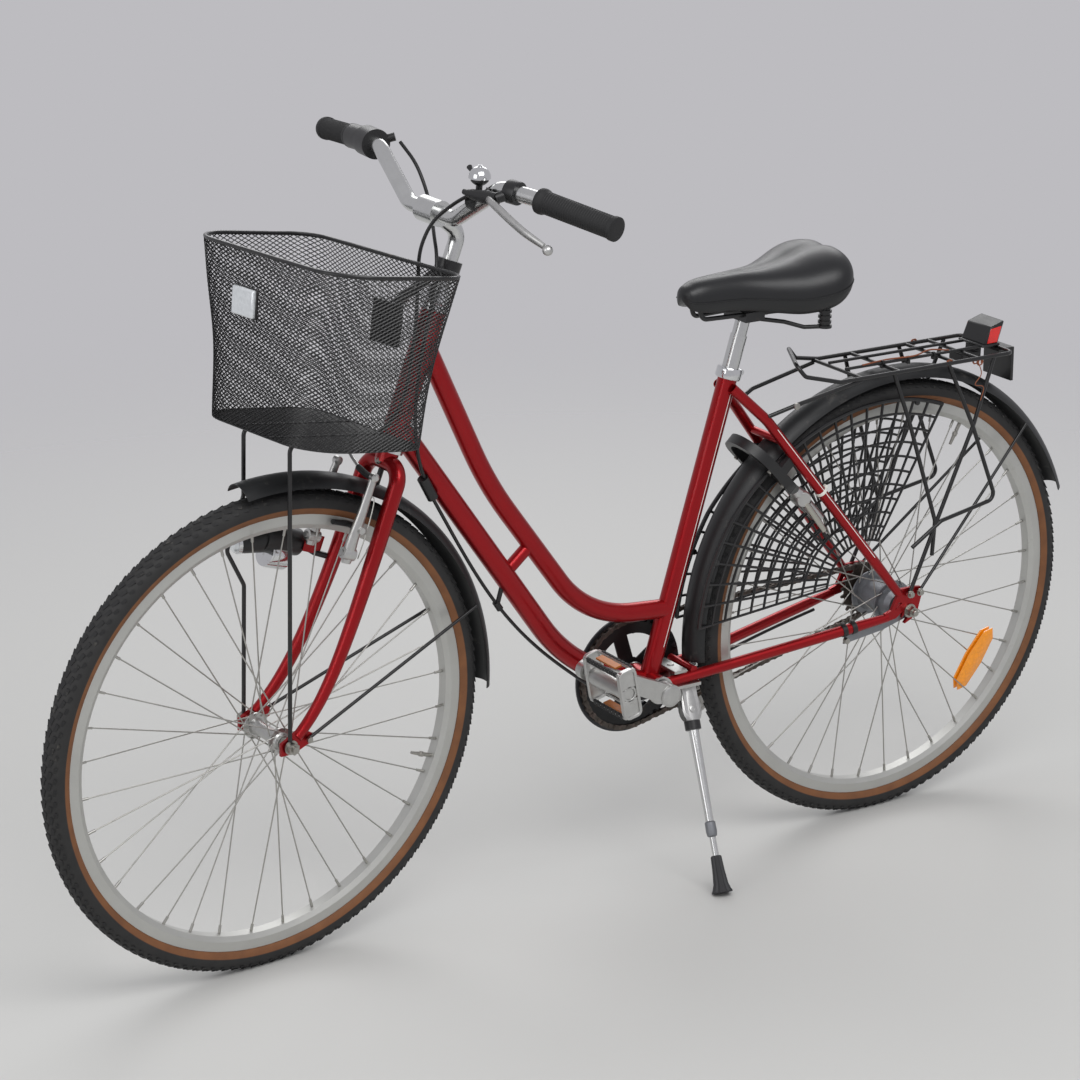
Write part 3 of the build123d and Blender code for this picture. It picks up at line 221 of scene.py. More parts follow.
# Rack, guards and basket: steel wire, black powder coat.
COATED = material("steel_wire_powder_coated", "#121213", 0.36, 0.0, 1.5, coat=0.2,
                  mottle=(0.08, 25), dirt=("#4a3a30", 0.06, 20))
# Chain and sprocket: oiled steel with brown rust.
CHAIN = material("steel_chain_oiled_rusty", "#4d453e", 0.5, 0.8, 2.5, mottle=(0.2, 8),
                 dirt=("#5a3420", 0.5, 14))
# Chainring of black steel, and its guard ring of dark grey nylon.
RING = material("steel_chainring_black", "#1d1d1e", 0.4, 0.4, 1.5, mottle=(0.1, 15),
                dirt=("#4d3b2c", 0.2, 20))
GUARD = material("nylon_guard_ring_grey", "#2c2d30", 0.4, 0.0, 1.53, mottle=(0.06, 25))
# Saddle cover: black vinyl, embossed and stretched over foam.
VINYL = material("vinyl_saddle_cover", "#121315", 0.36, 0.0, 1.53, mottle=(0.06, 40),
                 grain=(0.35, 0.9))
# Grips, pedal treads and brake pads: black moulded rubber; tread blocks: the same, drier.
RUBBER = material("rubber_moulded", "#151516", 0.62, 0.0, 1.52, mottle=(0.1, 18),
                  grain=(0.5, 1.4))
TREAD = material("rubber_tread_block", "#19191a", 0.72, 0.0, 1.52, mottle=(0.12, 25),
                 grain=(0.3, 1.5), dirt=("#6a665f", 0.25, 18))
# Cable housing: extruded black polyethylene.
HOUSING = material("cable_housing_extruded", "#131314", 0.34, 0.0, 1.5)
# Reflectors and lenses: moulded acrylic with prisms behind.
AMBER = material("acrylic_reflector_amber", "#f29408", 0.22, 0.0, 1.49, coat=0.8,
                 mottle=(0.12, 5))
AMBER_DULL = material("acrylic_reflector_scuffed", "#a35c1a", 0.4, 0.0, 1.49, mottle=(0.2, 5))
RED_LENS = material("acrylic_lens_red", "#d5170f", 0.18, 0.0, 1.49, coat=0.8, mottle=(0.12, 5))
CLEAR = material("acrylic_reflector_clear", "#d5d8da", 0.16, 0.35, 1.49, coat=0.8,
                 mottle=(0.1, 5))
GLASS = material("polycarbonate_lamp_lens", "#dfe3e6", 0.12, 0.5, 1.58, coat=0.6, mottle=(0.1, 4))
# Small things: ties, stripes, wires, the key, grey castings and the stand's boot.
WHITE = material("nylon_cable_tie_white", "#e2e0d8", 0.4, 0.0, 1.53)
STRIPE = material("vinyl_pinstripe_white", "#e8e4de", 0.4, 0.0, 1.5)
COPPER = material("copper_wire_insulated_brown", "#8a4f34", 0.45, 0.2, 1.5)
KEY_STEEL = material("steel_key_nickel_plated", "#b9b7ae", 0.25, 1.0, 2.3)
GREY_CAST = material("aluminium_cast_grey", "#84868a", 0.45, 0.8, 1.45, mottle=(0.08, 12),
                     dirt=("#6a6863", 0.2, 20))
FOOT = material("rubber_stand_foot", "#2a2a2c", 0.6, 0.0, 1.52, mottle=(0.1, 12))


def tyre_material(name, centre):
    """Black tread band and tan sidewalls, told apart by distance from the wheel's centre."""
    mat = bpy.data.materials.new(name)
    mat.use_nodes = True
    tree = mat.node_tree
    body = tree.nodes["Principled BSDF"]
    body.inputs["Roughness"].default_value = 0.7
    body.inputs["IOR"].default_value = 1.52
    place = add(tree, "ShaderNodeTexCoord")
    offset = add(tree, "ShaderNodeVectorMath", [(0, place.outputs["Object"])],
                 operation="SUBTRACT")
    offset.inputs[1].default_value = tuple(centre)
    reach = add(tree, "ShaderNodeVectorMath", [(0, offset.outputs["Vector"])], operation="LENGTH")
    grime = add(tree, "ShaderNodeTexNoise", [("Vector", place.outputs["Object"])], Scale=45.0,
                Detail=5.0)
    # the tread band starts just outside the tyre's widest circle
    band = add(tree, "ShaderNodeMapRange", [("Value", reach.outputs["Value"])],
               From_Min=TREAD_FROM * MM, From_Max=(TREAD_FROM + TREAD_BLEND) * MM)
    both = add(tree, "ShaderNodeMix", [("Factor", band.outputs["Result"])], data_type="RGBA")
    for socket, dark, light in ((6, "#5f3a22", "#85552f"), (7, "#141415", "#2b2a29")):
        shade = add(tree, "ShaderNodeMix", [("Factor", grime.outputs["Fac"])], data_type="RGBA")
        shade.inputs[6].default_value = to_linear(dark)
        shade.inputs[7].default_value = to_linear(light)
        tree.links.new(shade.outputs[2], both.inputs[socket])
    tree.links.new(both.outputs[2], body.inputs["Base Color"])
    bump = add(tree, "ShaderNodeBump", [("Height", grime.outputs["Fac"])], Strength=0.15,
               Distance=0.0004)
    tree.links.new(bump.outputs["Normal"], body.inputs["Normal"])
    return mat


# ---------------------------------------------------------------- mesh helpers
def unit(v):
    v = np.asarray(v, float)
    return v / np.linalg.norm(v)


def rounded(obj, width, segments):
    """Rounds an object's edges; the width is in millimetres."""
    edges = obj.modifiers.new("edges", "BEVEL")
    edges.width = width * MM
    edges.segments = segments
    edges.limit_method = "ANGLE"
    return edges


def polar(radius, degrees, y=0.0):
    """A point on a circle about the rear axle, by degrees up from straight ahead."""
    angle = math.radians(degrees)
    return vec(radius * math.cos(angle), y, radius * math.sin(angle))


def square_to(direction):
    """Two unit vectors square to a direction."""
    d = unit(direction)
    side = vec(0, 1.0, 0) if abs(d[1]) < 0.9 else vec(1.0, 0, 0)
    u = unit(np.cross(side, d))
    return u, np.cross(d, u)


class Soup:
    """Collects rings, boxes and tubes in millimetres and turns them into one mesh."""

    def __init__(self):
        self.points = []
        self.faces = []

    def add(self, points, faces):
        start = len(self.points)
        self.points.extend(np.asarray(points, float).tolist())
        self.faces.extend([[start + i for i in face] for face in faces])

    def rings(self, rings, closed=False, caps=True):
        """Skins a row of rings that have equal point counts."""
        n = len(rings[0])
        points = np.concatenate([np.asarray(r, float) for r in rings])
        faces = []
        count = len(rings)
        for i in range(count if closed else count - 1):
            a = i * n
            b = ((i + 1) % count) * n
            for k in range(n):
                m = (k + 1) % n
                faces.append([a + k, a + m, b + m, b + k])
        if caps and not closed:
            faces.append(list(range(n))[::-1])
            faces.append([(count - 1) * n + k for k in range(n)])
        self.add(points, faces)

    def tube(self, path, radius, sides=10, closed=False, flat=1.0):
        """Round bar along points; radius is one number or one for each point."""
        path = [np.asarray(p, float) for p in path]
        count = len(path)
        radii = [radius] * count if np.isscalar(radius) else radius
        rings = []
        u = None
        for i, p in enumerate(path):
            before = path[i - 1] if i or closed else p
            after = path[(i + 1) % count] if i < count - 1 or closed else p
            d = unit(after - before)
            if u is None:
                u, _ = square_to(d)
            u = unit(u - d * np.dot(u, d))
            v = np.cross(d, u)
            turns = np.arange(sides) * 2 * math.pi / sides
            disc = np.outer(np.cos(turns), u) + flat * np.outer(np.sin(turns), v)
            rings.append(p + radii[i] * disc)
        self.rings(rings, closed)

    def turned(self, centre, axis, profile, sides=32, closed=False):
        """Solid of revolution; profile is (radius, distance along the axis)."""
        u, v = square_to(axis)
        d = unit(axis)
        turns = np.arange(sides) * 2 * math.pi / sides
        round_ = np.outer(np.cos(turns), u) + np.outer(np.sin(turns), v)
        start = np.asarray(centre, float)
        self.rings([start + d * along + max(r, 0.01) * round_ for r, along in profile], closed)

    def box(self, centre, size, x=(1, 0, 0), z=(0, 0, 1)):
        x = unit(x)
        z = unit(np.asarray(z, float) - x * np.dot(z, x))
        y = np.cross(z, x)
        middle = np.asarray(centre, float)
        corners = [middle + x * sx * size[0] / 2 + y * sy * size[1] / 2 + z * sz * size[2] / 2
                   for sx, sy, sz in ((-1, -1, -1), (1, -1, -1), (1, 1, -1), (-1, 1, -1),
                                      (-1, -1, 1), (1, -1, 1), (1, 1, 1), (-1, 1, 1))]
        self.add(corners, [[3, 2, 1, 0], [4, 5, 6, 7], [0, 1, 5, 4], [1, 2, 6, 5], [2, 3, 7, 6],
                           [3, 0, 4, 7]])

    def prism(self, outline, y0, y1):
        """Flat plate across the bicycle; outline is (x, z) points."""
        low = [(x, y0, z) for x, z in outline]
        high = [(x, y1, z) for x, z in outline]
        self.rings([low, high])

    def hexagon(self, centre, axis, across, height):
        """Nut or bolt head; across is the width over its flats."""
        foot = np.asarray(centre, float)
        self.tube([foot, foot + unit(axis) * height], across / math.sqrt(3), 6)

    def strands(self, starts, ends, radius, sides=3):
        """Many thin straight wires at once."""
        for a, b in zip(starts, ends):
            u, v = square_to(b - a)
            turns = np.arange(sides) * 2 * math.pi / sides
            ring = radius * (np.outer(np.cos(turns), u) + np.outer(np.sin(turns), v))
            self.rings([a + ring, b + ring], caps=False)

    def mirrored(self):
        """Adds the same shapes on the bicycle's other side."""
        points = [[x, -y, z] for x, y, z in self.points]
        start = len(self.points)
        self.faces.extend([[start + i for i in reversed(face)] for face in list(self.faces)])
        self.points.extend(points)
        return self

    def made(self, name, body, mat, node=None, space=None, bevel=0.0, smooth=35):
        """One piece that rides a body; node is the CAD node it stands for, which is hidden."""
        if space is None:
            space = STEERED if body in ("steering", "front_wheel") else UPRIGHT
        points = np.c_[np.array(self.points), np.ones(len(self.points))] @ space.T
        mesh = bpy.data.meshes.new(name)
        mesh.from_pydata(points[:, :3].tolist(), [], self.faces)
        mesh.validate()
        obj = bpy.data.objects.new(name, mesh)
        bpy.context.scene.collection.objects.link(obj)
        mesh.materials.append(mat)
        if smooth:
            mesh.shade_smooth()
            mesh.set_sharp_from_angle(angle=math.radians(smooth))
        if bevel:
            rounded(obj, bevel, 2)
        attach(obj, body)
        if node:
            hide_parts(node)
        return obj


def smooth_path(points, per=8):
    """A smooth curve through the points (Catmull-Rom)."""
    p = [np.asarray(q, float) for q in points]
    p = [2 * p[0] - p[1]] + p + [2 * p[-1] - p[-2]]
    out = []
    for i in range(1, len(p) - 2):
        for t in np.arange(per) / per:
            a, b, c, d = p[i - 1], p[i], p[i + 1], p[i + 2]
            out.append(0.5 * (2 * b + (c - a) * t + (2 * a - 5 * b + 4 * c - d) * t * t
                              + (3 * b - a - 3 * c + d) * t ** 3))
    out.append(p[-2])
    return out


# ---------------------------------------------------------------- CAD nodes that show as they are
def dress(nodes, mat):
    for node in nodes:
        obj = frame["nodes"][node]
        obj.data.materials.clear()
        obj.data.materials.append(mat)
        obj.data.shade_smooth()
        obj.data.set_sharp_from_angle(angle=math.radians(35))


TREAD_FROM = 327
TREAD_BLEND = 1.2
TREAD_R = 349
dress(["head_tube", "top_tube", "down_tube", "seat_tube", "bottom_bracket", "chain_stays",
       "seat_stays", "rear_dropouts", "fork"], RED)
dress(["seat_post", "seat_clamp", "handlebar", "stem"], BRIGHT)
dress(["headset_cups", "headset_nut"], CHROME)
dress(["front_hub", "crankset", "bracket_cups", "stand_bracket"], ALLOY)
dress(["coaster_arm", "rear_hub"], GREY_CAST)
dress(["front_rim", "rear_rim"], RIM)
dress(["front_spokes", "rear_spokes"], WIRE)
dress(["front_axle", "rear_axle"], BOLT)
dress(["front_fender", "rear_fender"], FENDER)
dress(["rear_rack", "front_fender_stays", "rear_fender_stays", "basket_struts", "saddle_frame"],
      COATED)
dress(["ring_lock", "gear_shifter", "cable_guides"], PLASTIC)
dress(["rear_sprocket"], CHAIN)
dress(["chainring"], RING)
# gear_cable_loop is stiff and rides the frame, so its end leaves the shifter as the bar turns.
dress(["gear_cable", "gear_cable_loop", "front_brake_cable"], HOUSING)
# Forged and cast pieces have round edges that the construction leaves sharp.
for node, width in (("crankset", 3.0), ("stand_bracket", 1.5), ("ring_lock", 3.0),
                    ("rear_dropouts", 0.8), ("gear_shifter", 2.0), ("coaster_arm", 0.8)):
    rounded(frame["nodes"][node], width, 3).angle_limit = math.radians(40)
FRONT_TYRE = tyre_material("rubber_tyre_tan_wall_front", joint_pos("front_wheel_spin"))
REAR_TYRE = tyre_material("rubber_tyre_tan_wall_rear", REAR)
dress(["front_tyre"], FRONT_TYRE)
dress(["rear_tyre"], REAR_TYRE)

# ---------------------------------------------------------------- basket of expanded metal
# Drawn from the middle of its base's front edge; it sits tipped back and a little askew.
BASKET_FOOT = (1115, 0, 439)
BASKET_PITCH = math.radians(8.2)
BASKET_ROLL = math.radians(3.4)
FRONT_CORNER = 65
BACK_CORNER = 38
MESH_GIRTH = 980
BASE_DEPTH = 196
BASE_HALF = 140
RIM_HALF = 183
RIM_FRONT = 11
HEIGHT = 240
MESH_PITCH = 5.4
MESH_ROW = 2.9
STRAND_R = 0.8
tip = np.array([[math.cos(BASKET_PITCH), 0, -math.sin(BASKET_PITCH)], [0, 1, 0],
                [math.sin(BASKET_PITCH), 0, math.cos(BASKET_PITCH)]])
roll = np.array([[1, 0, 0], [0, math.cos(BASKET_ROLL), -math.sin(BASKET_ROLL)],
                 [0, math.sin(BASKET_ROLL), math.cos(BASKET_ROLL)]])
in_basket = np.eye(4)
in_basket[:3, :3] = tip @ roll
in_basket[:3, 3] = BASKET_FOOT
BASKET = STEERED @ in_basket


def basket_outline(z, count, inset=1.0):
    """Points round the basket at one height: square back, well rounded front corners."""
    t = z / HEIGHT
    back = -BASE_DEPTH - 4 * t + inset
    front = RIM_FRONT * t - inset
    half = BASE_HALF + (RIM_HALF - BASE_HALF) * t - inset
    corners = [(front - FRONT_CORNER, half - FRONT_CORNER, FRONT_CORNER, 0),
               (back + BACK_CORNER, half - BACK_CORNER, BACK_CORNER, 90),
               (back + BACK_CORNER, -half + BACK_CORNER, BACK_CORNER, 180),
               (front - FRONT_CORNER, -half + FRONT_CORNER, FRONT_CORNER, 270)]
    path = []
    for cx, cy, r, start in corners:
        for a in np.radians(np.linspace(start, start + 90, 9)):
            path.append((cx + r * math.cos(a), cy + r * math.sin(a)))
    path = np.array(path + path[:1])
    steps = np.r_[0, np.cumsum(np.linalg.norm(np.diff(path, axis=0), axis=1))]
    at = np.arange(count) / count * steps[-1]
    return np.c_[np.interp(at, steps, path[:, 0]), np.interp(at, steps, path[:, 1])]


def dented(x, y, z):
    """The thin wall's own unevenness: shallow waves that fade at the rim and the base."""
    fade = math.sin(math.pi * min(1.0, max(0.0, z / HEIGHT)))
    wave = 1.1 * math.sin(x / 31 + z / 47) + 0.9 * math.sin(y / 37 - z / 39 + 1.2)
    return wave * fade


AROUND = 2 * round(MESH_GIRTH / MESH_PITCH / 2)
UPWARD = 2 * round(HEIGHT / MESH_ROW / 2)
wide = basket_outline(HEIGHT, AROUND)
low = basket_outline(0, AROUND)
wall = np.zeros((UPWARD + 1, AROUND, 3))
for row in range(UPWARD + 1):
    t = row / UPWARD
    z = 1 + (HEIGHT - 2) * t
    line = low + (wide - low) * t
    inward = line.mean(axis=0) - line
    inward = inward / np.linalg.norm(inward, axis=1)[:, None]
    for k in range(AROUND):
        push = 2.0 * math.sin(math.pi * t) + dented(line[k, 0], line[k, 1], z)
        wall[row, k, :2] = line[k] + inward[k] * push
        wall[row, k, 2] = z
starts = []
ends = []
for row in range(UPWARD):
    for k in range(row % 2, AROUND, 2):
        for step in (-1, 1):
            starts.append(wall[row, k])
            ends.append(wall[row + 1, (k + step) % AROUND])
basket = Soup()
basket.strands(starts, ends, STRAND_R)
basket.made("basket_mesh_wall", "steering", COATED, space=BASKET, node="basket", smooth=0)

# floor of the basket: the same mesh, cut to the outline
floor_line = basket_outline(0, 200)
centre = floor_line.mean(axis=0)
reach_at = np.arctan2(floor_line[:, 1] - centre[1], floor_line[:, 0] - centre[0])
reach = np.linalg.norm(floor_line - centre, axis=1)
order = np.argsort(reach_at)


def inside_floor(x, y):
    a = math.atan2(y - centre[1], x - centre[0])
    edge = np.interp(a, reach_at[order], reach[order], period=2 * math.pi)
    return math.hypot(x - centre[0], y - centre[1]) < edge


starts = []
ends = []
for i in range(-40, 41):
    for k in range(-60, 61):
        if (i + k) % 2:
            continue
        a = (centre[0] + i * MESH_ROW, centre[1] + k * MESH_PITCH / 2)
        for di in (-1, 1):
            b = (a[0] + di * MESH_ROW, a[1] + MESH_PITCH / 2)
            if inside_floor(*a) and inside_floor(*b):
                starts.append(vec(*a, 1))
                ends.append(vec(*b, 1))
floor_mesh = Soup()
floor_mesh.strands(starts, ends, STRAND_R)
rim_path = [vec(x, y, HEIGHT - 2) for x, y in basket_outline(HEIGHT, 120, 2.6)]
floor_mesh.tube(rim_path, 2.9, 10, closed=True)
fold = [vec(x, y, 1.5) for x, y in basket_outline(0, 120, 1.6)]
floor_mesh.tube(fold, 1.2, 6, closed=True)
for y in (-40, 40):
    floor_mesh.tube([(-BASE_DEPTH + 1, y, 2), (-2, y, 2)], 1.8, 8)
floor_mesh.made("basket_rim_and_floor", "steering", COATED, space=BASKET)

# ---------------------------------------------------------------- skirt guards
FOCUS = vec(66.0, 0, 52.0)
GUARD_FROM = 4
GUARD_SWEEP = 100
GUARD_HUB = 0.215
GUARD_ANGLES = [4, 30, 54, 104]
GUARD_RADII = [372, 368, 349, 318]
STRANDS = 20
ARCS = 11
GUARD_SIDE = 28.1
WIRE_R = 2.0


def guard_point(angle, fraction, y):
    r = np.interp(angle, GUARD_ANGLES, GUARD_RADII)
    p = FOCUS + (polar(r, angle) - FOCUS) * fraction
    return np.array([p[0], y, p[2]])


guard = Soup()
for i in range(STRANDS):
    angle = GUARD_FROM + GUARD_SWEEP * i / (STRANDS - 1)
    guard.tube([guard_point(angle, GUARD_HUB, GUARD_SIDE), guard_point(angle, 1, GUARD_SIDE)],
               [WIRE_R * 0.9, WIRE_R * 1.1], 8)
for i in range(ARCS):
    fraction = GUARD_HUB + 0.785 * i / (ARCS - 1)
    step_out, thicker = (0.6, 1.0) if i < ARCS - 1 else (0.1, 1.7)
    sweep = np.linspace(GUARD_FROM, GUARD_FROM + GUARD_SWEEP, 60)
    guard.tube([guard_point(a, fraction, GUARD_SIDE + step_out) for a in sweep],
               WIRE_R * thicker, 8)
for angle in (20, 45, 70, 95):
    guard.turned(guard_point(angle, 0.985, GUARD_SIDE), (0, 1, 0),
                 [(4.5, -1.5), (4.5, 1.8), (2.5, 2.6)], 12)
guard.mirrored()
guard.made("skirt_guard_lattices", "frame", COATED, node="skirt_guards")

# ---------------------------------------------------------------- tyre tread
BLOCKS = 132
STAGGERED = 9.5
# distance across the tyre, width, and length as a share of the blocks' pitch
TREAD_ROWS = [(0.0, 7.5, 0.7), (STAGGERED, 5.0, 0.9), (-STAGGERED, 5.0, 0.9), (15.0, 3.6, 0.7),
              (-15.0, 3.6, 0.7)]
TUBE_R = 18.5


def tread(name, centre, body):
    """Rows of low blocks round the tyre, with a zigzag between neighbouring rows."""
    soup = Soup()
    tube_centre = TREAD_R - TUBE_R
    for across, width, length in TREAD_ROWS:
        lean = math.asin(max(-1, min(1, across / TUBE_R)))
        out = TUBE_R * math.cos(lean)
        for i in range(BLOCKS):
            turn = 2 * math.pi * (i + (0.5 if abs(across) == STAGGERED else 0)) / BLOCKS
            radial = vec(math.cos(turn), 0, math.sin(turn))
            along = vec(-math.sin(turn), 0, math.cos(turn))
            up = radial * math.cos(lean) + vec(0, 1, 0) * math.sin(lean)
            spot = centre + radial * (tube_centre + out - 0.25) + vec(0, across, 0)
            pitch = 2 * math.pi * TREAD_R / BLOCKS
            skew = along + vec(0, 1, 0) * (0.35 if across >= 0 else -0.35)
            soup.box(spot, (pitch * length * 0.92, width, 1.6), x=skew, z=up)
    soup.made(name, body, TREAD, smooth=0)


tread("front_tyre_tread", FRONT, "front_wheel")
tread("rear_tyre_tread", np.zeros(3), "rear_wheel")

# ---------------------------------------------------------------- valves
for name, centre, body, angle in (("front_valve", FRONT, "front_wheel", 200),
                                  ("rear_valve", np.zeros(3), "rear_wheel", 118)):
    radial = polar(1, angle)
    valve = Soup()
    valve.turned(centre + radial * 300, -radial,
                 [(3, 0), (3, 18), (4, 19), (4, 24), (3, 25), (2.2, 40)], 16)
    valve.made(name, body, BOLT)

# ---------------------------------------------------------------- saddle cover
SADDLE_NOSE = 404
STATIONS = [
    # distance back from the nose, half width, top, lower edge
    (-1, 5, 534, 526), (3, 14, 541, 518), (10, 20, 546, 512), (32, 26, 553, 507),
    (92, 33, 557, 504), (139, 50, 559, 498), (179, 72, 566, 495), (214, 86, 577, 500),
    (237, 87, 582, 508), (254, 76, 581, 520), (264, 54, 574, 534)]


def smooth_station(back):
    """Half width, top and underside at a distance back, eased between the stations."""
    values = []
    for column in (1, 2, 3):
        path = smooth_path([(s[0], s[column], 0) for s in STATIONS], 12)
        values.append(np.interp(back, [p[0] for p in path], [p[1] for p in path]))
    return values


SKIRT = 0.36
SADDLE_SIDES = 64


def saddle_ring(back):
    half, top, low = smooth_station(back)
    ring = []
    skirt_z = low + (top - low) * SKIRT
    for k in range(SADDLE_SIDES):
        t = 2 * math.pi * k / SADDLE_SIDES
        s = math.sin(t)
        c = math.cos(t)
        y = half * math.copysign(abs(s) ** 0.82, s)
        if c >= 0:
            groove = 3.2 * math.exp(-(y / max(4.0, half * 0.16)) ** 2)
            groove *= min(1, max(0, back - 40) / 60)
            z = skirt_z + (top - skirt_z) * abs(c) ** 0.8 - groove
        else:
            z = skirt_z - (skirt_z - low) * min(1.0, abs(c) * 1.6)
            z += 0.16 * half * max(0.0, abs(c) - 0.62) / 0.38
        ring.append((SADDLE_NOSE - back, y, z))
    return ring


cover = Soup()
steps = np.r_[np.linspace(-1, 12, 6), np.linspace(18, 232, 34), np.linspace(238, 264, 9)]
cover.rings([saddle_ring(b) for b in steps])
saddle_cover = cover.made("saddle_cover", "frame", VINYL, node="saddle", smooth=60)
# seam piping along the cover's widest line
seam = Soup()
for side in (1, -1):
    line = []
    for b in np.linspace(4, 263, 60):
        half, top, low = smooth_station(b)
        line.append((SADDLE_NOSE - b, side * (half + 0.2), low + (top - low) * SKIRT))
    seam.tube(line, 1.1, 6)
seam.made("saddle_seam", "frame", PLASTIC)

# ---------------------------------------------------------------- bar fittings
BAR_BEND = vec(816, 138, 762.0)
BAR_SWEEP = vec(803, 192, 759.0)
BAR_END = vec(776, 325, 745.0)
grip_dir = unit(BAR_END - BAR_SWEEP)


def on_grip(distance, side=1):
    p = BAR_END - grip_dir * distance
    return np.array([p[0], p[1] * side, p[2]])


def on_sweep(side):
    t = (abs(side) - BAR_BEND[1]) / (BAR_SWEEP[1] - BAR_BEND[1])
    p = BAR_BEND + (BAR_SWEEP - BAR_BEND) * t
    return np.array([p[0], side, p[2]])


grips = Soup()
for side, length in ((1, 126), (-1, 98)):
    profile = [(6, -4), (13, -4), (16.5, -2.5), (16.5, 3)]
    ribs = int((length - 12) / 4)
    for i in range(ribs):
        d = 4 + i * 4
        profile += [(15.3, d), (15.3, d + 0.8), (14.7, d + 1.2), (14.7, d + 3.2)]
    profile += [(17.2, length - 7), (17.6, length - 3), (17.2, length), (11.3, length)]
    grips.turned(on_grip(0, side), on_grip(100, side) - on_grip(0, side), profile, 28)
grips.made("bar_grips", "steering", RUBBER, node="grips")

bell = Soup()
bell_at = head(812, 74, 97)
BELL_R = 15
dome = [(0.01, BELL_R)]
dome += [(BELL_R * math.cos(a), BELL_R * math.sin(a)) for a in np.radians(np.arange(80, -1, -8))]
dome += [(BELL_R, -1), (14, -1)]
bell.turned(bell_at, (0, 0, 1), dome, 40)
bell.turned(bell_at + [0, 0, 14], (0, 0, 1), [(3.2, 0), (3.2, 2), (1.5, 3)], 12)
bell.made("bell_dome", "steering", CHROME, node="bell")
striker = Soup()
striker.turned(bell_at, (0, 0, -1), [(12, 0), (12, 5), (9, 8), (6, 10)], 24)
striker.tube([bell_at + [0, 0, -6], head(782, 64, 96)], 4.5, 12)
striker.turned(head(781, 66, 97) + vec(0, -9, 0), (0, 1, 0), [(13.5, 0), (13.5, 12)], 24)
striker.tube([bell_at + [0, -10, -3], bell_at + [-6, -26, 2], bell_at + [-8, -34, 6]],
             [2.5, 2.2, 4.0], 10)
striker.made("bell_base", "steering", PLASTIC)

lever = Soup()
blade = smooth_path([head(790, 82, 132), head(784, 96, 172), head(766, 92, 232),
                     head(756, 82, 272)], 8)
radii = [4.6 + 1.6 * math.sin(math.pi * i / (len(blade) - 1)) for i in range(len(blade))]
lever.tube(blade, radii, 12, flat=0.62)
BALL_R = 7
ball = [(BALL_R * math.sin(a), 6 - BALL_R * math.cos(a))
        for a in np.linspace(0.1, math.pi - 0.1, 11)]
lever.turned(head(753, 81, 280) - vec(0, 6, 0), (0, 1, 0), ball, 20)
lever.made("brake_lever_blade", "steering", ALLOY, node="brake_lever")
perch = Soup()
perch.tube([head(792, 80, 152), head(790, 84, 130), head(788, 86, 106)], [9.5, 9, 7], 16, flat=0.8)
perch.turned(on_sweep(150), on_sweep(168) - on_sweep(150),
             [(11.5, 0), (15.5, 0), (16, 2), (16, 16), (15.5, 18), (11.5, 18)], 28)
perch.tube([on_sweep(159), head(793, 80, 148)], [8, 7.5], 14)
perch.turned(head(788, 86, 108), head(788, 86, 88) - head(788, 86, 108),
             [(5.5, 0), (5.5, 8), (4, 9), (4, 18)], 16)
perch.hexagon(head(800, 82, 132), HEAD_UP, 7, 3)
perch.made("brake_lever_perch", "steering", PLASTIC)

# ---------------------------------------------------------------- lamps and reflectors
LAMP_UP = 256
mid = -73.0
lamp = Soup()
lamp.tube([head(LAMP_UP, 42, mid), head(LAMP_UP, 46, mid), head(LAMP_UP - 1, 92, mid),
           head(LAMP_UP - 2, 108, mid)], [14, 19, 22, 21], 28)
lamp.tube([head(LAMP_UP - 4, 100, mid), head(LAMP_UP - 14, 132, mid - 3),
           head(LAMP_UP - 17, 140, mid - 3)], [19, 17, 15], 28)
lamp.tube([head(250, 4, -45), head(250, 26, -54), head(LAMP_UP, 46, -64)], 4.5, 10)
lamp.made("headlamp_housing", "steering", PLASTIC, node="headlamp")
bezel = Soup()
bezel.turned(head(LAMP_UP - 22, 60, mid), HEAD_AHEAD,
             [(10, 0), (20.5, 2), (21, 30), (20, 34), (15, 34)], 32)
bezel.tube([head(LAMP_UP - 16, 139, mid - 3), head(LAMP_UP - 18, 144, mid - 4)], [16.5, 16.5], 32)
bezel.made("headlamp_chrome_ring", "steering", CHROME)
glass = Soup()
glass.tube([head(LAMP_UP - 17, 143, mid - 3), head(LAMP_UP - 20, 149, mid - 5),
            head(LAMP_UP - 22, 152, mid - 6)], [15.5, 14, 8], 32)
glass.made("headlamp_lens", "steering", GLASS)
plate = Soup()
plate.box(head(262, 34, -52), (30, 2.5, 26), x=HEAD_AHEAD, z=HEAD_UP)
plate.made("headlamp_bracket_plate", "steering", RED, bevel=0.8)

housing = Soup()
housing.prism([(-155, 390), (-166, 417), (-193, 425), (-182, 390)], -27.4, 27.4)
housing.prism([(-150, 386.5), (-150, 391), (-186, 391), (-186, 386.5)], -29, 29)
housing.prism([(-122, 378), (-122, 364), (-160, 362), (-160, 391), (-154, 391), (-154, 378)],
              -16, 16)
housing.made("tail_lamp_housing", "frame", PLASTIC, node="tail_lamp", bevel=2.2)
lens = Soup()
lens.prism([(-166, 414.5), (-187.5, 417.5), (-180.5, 392), (-160, 392)], -28.2, 28.2)
lens.made("tail_lamp_lens", "frame", RED_LENS, bevel=1.2)

REFLECTOR_X = RIM_FRONT - 3
front_reflector = Soup()
front_reflector.box((REFLECTOR_X + 8.2, -18, 172), (7, 50, 38), x=(1, 0, -0.05))
front_reflector.made("basket_reflector_lens", "steering", CLEAR, space=BASKET,
                     node="basket_reflector", bevel=2.5)
reflector_back = Soup()
reflector_back.box((REFLECTOR_X + 4.4, -18, 172), (4, 53, 41), x=(1, 0, -0.05))
reflector_back.made("basket_reflector_back", "steering", PLASTIC, space=BASKET, bevel=1.5)

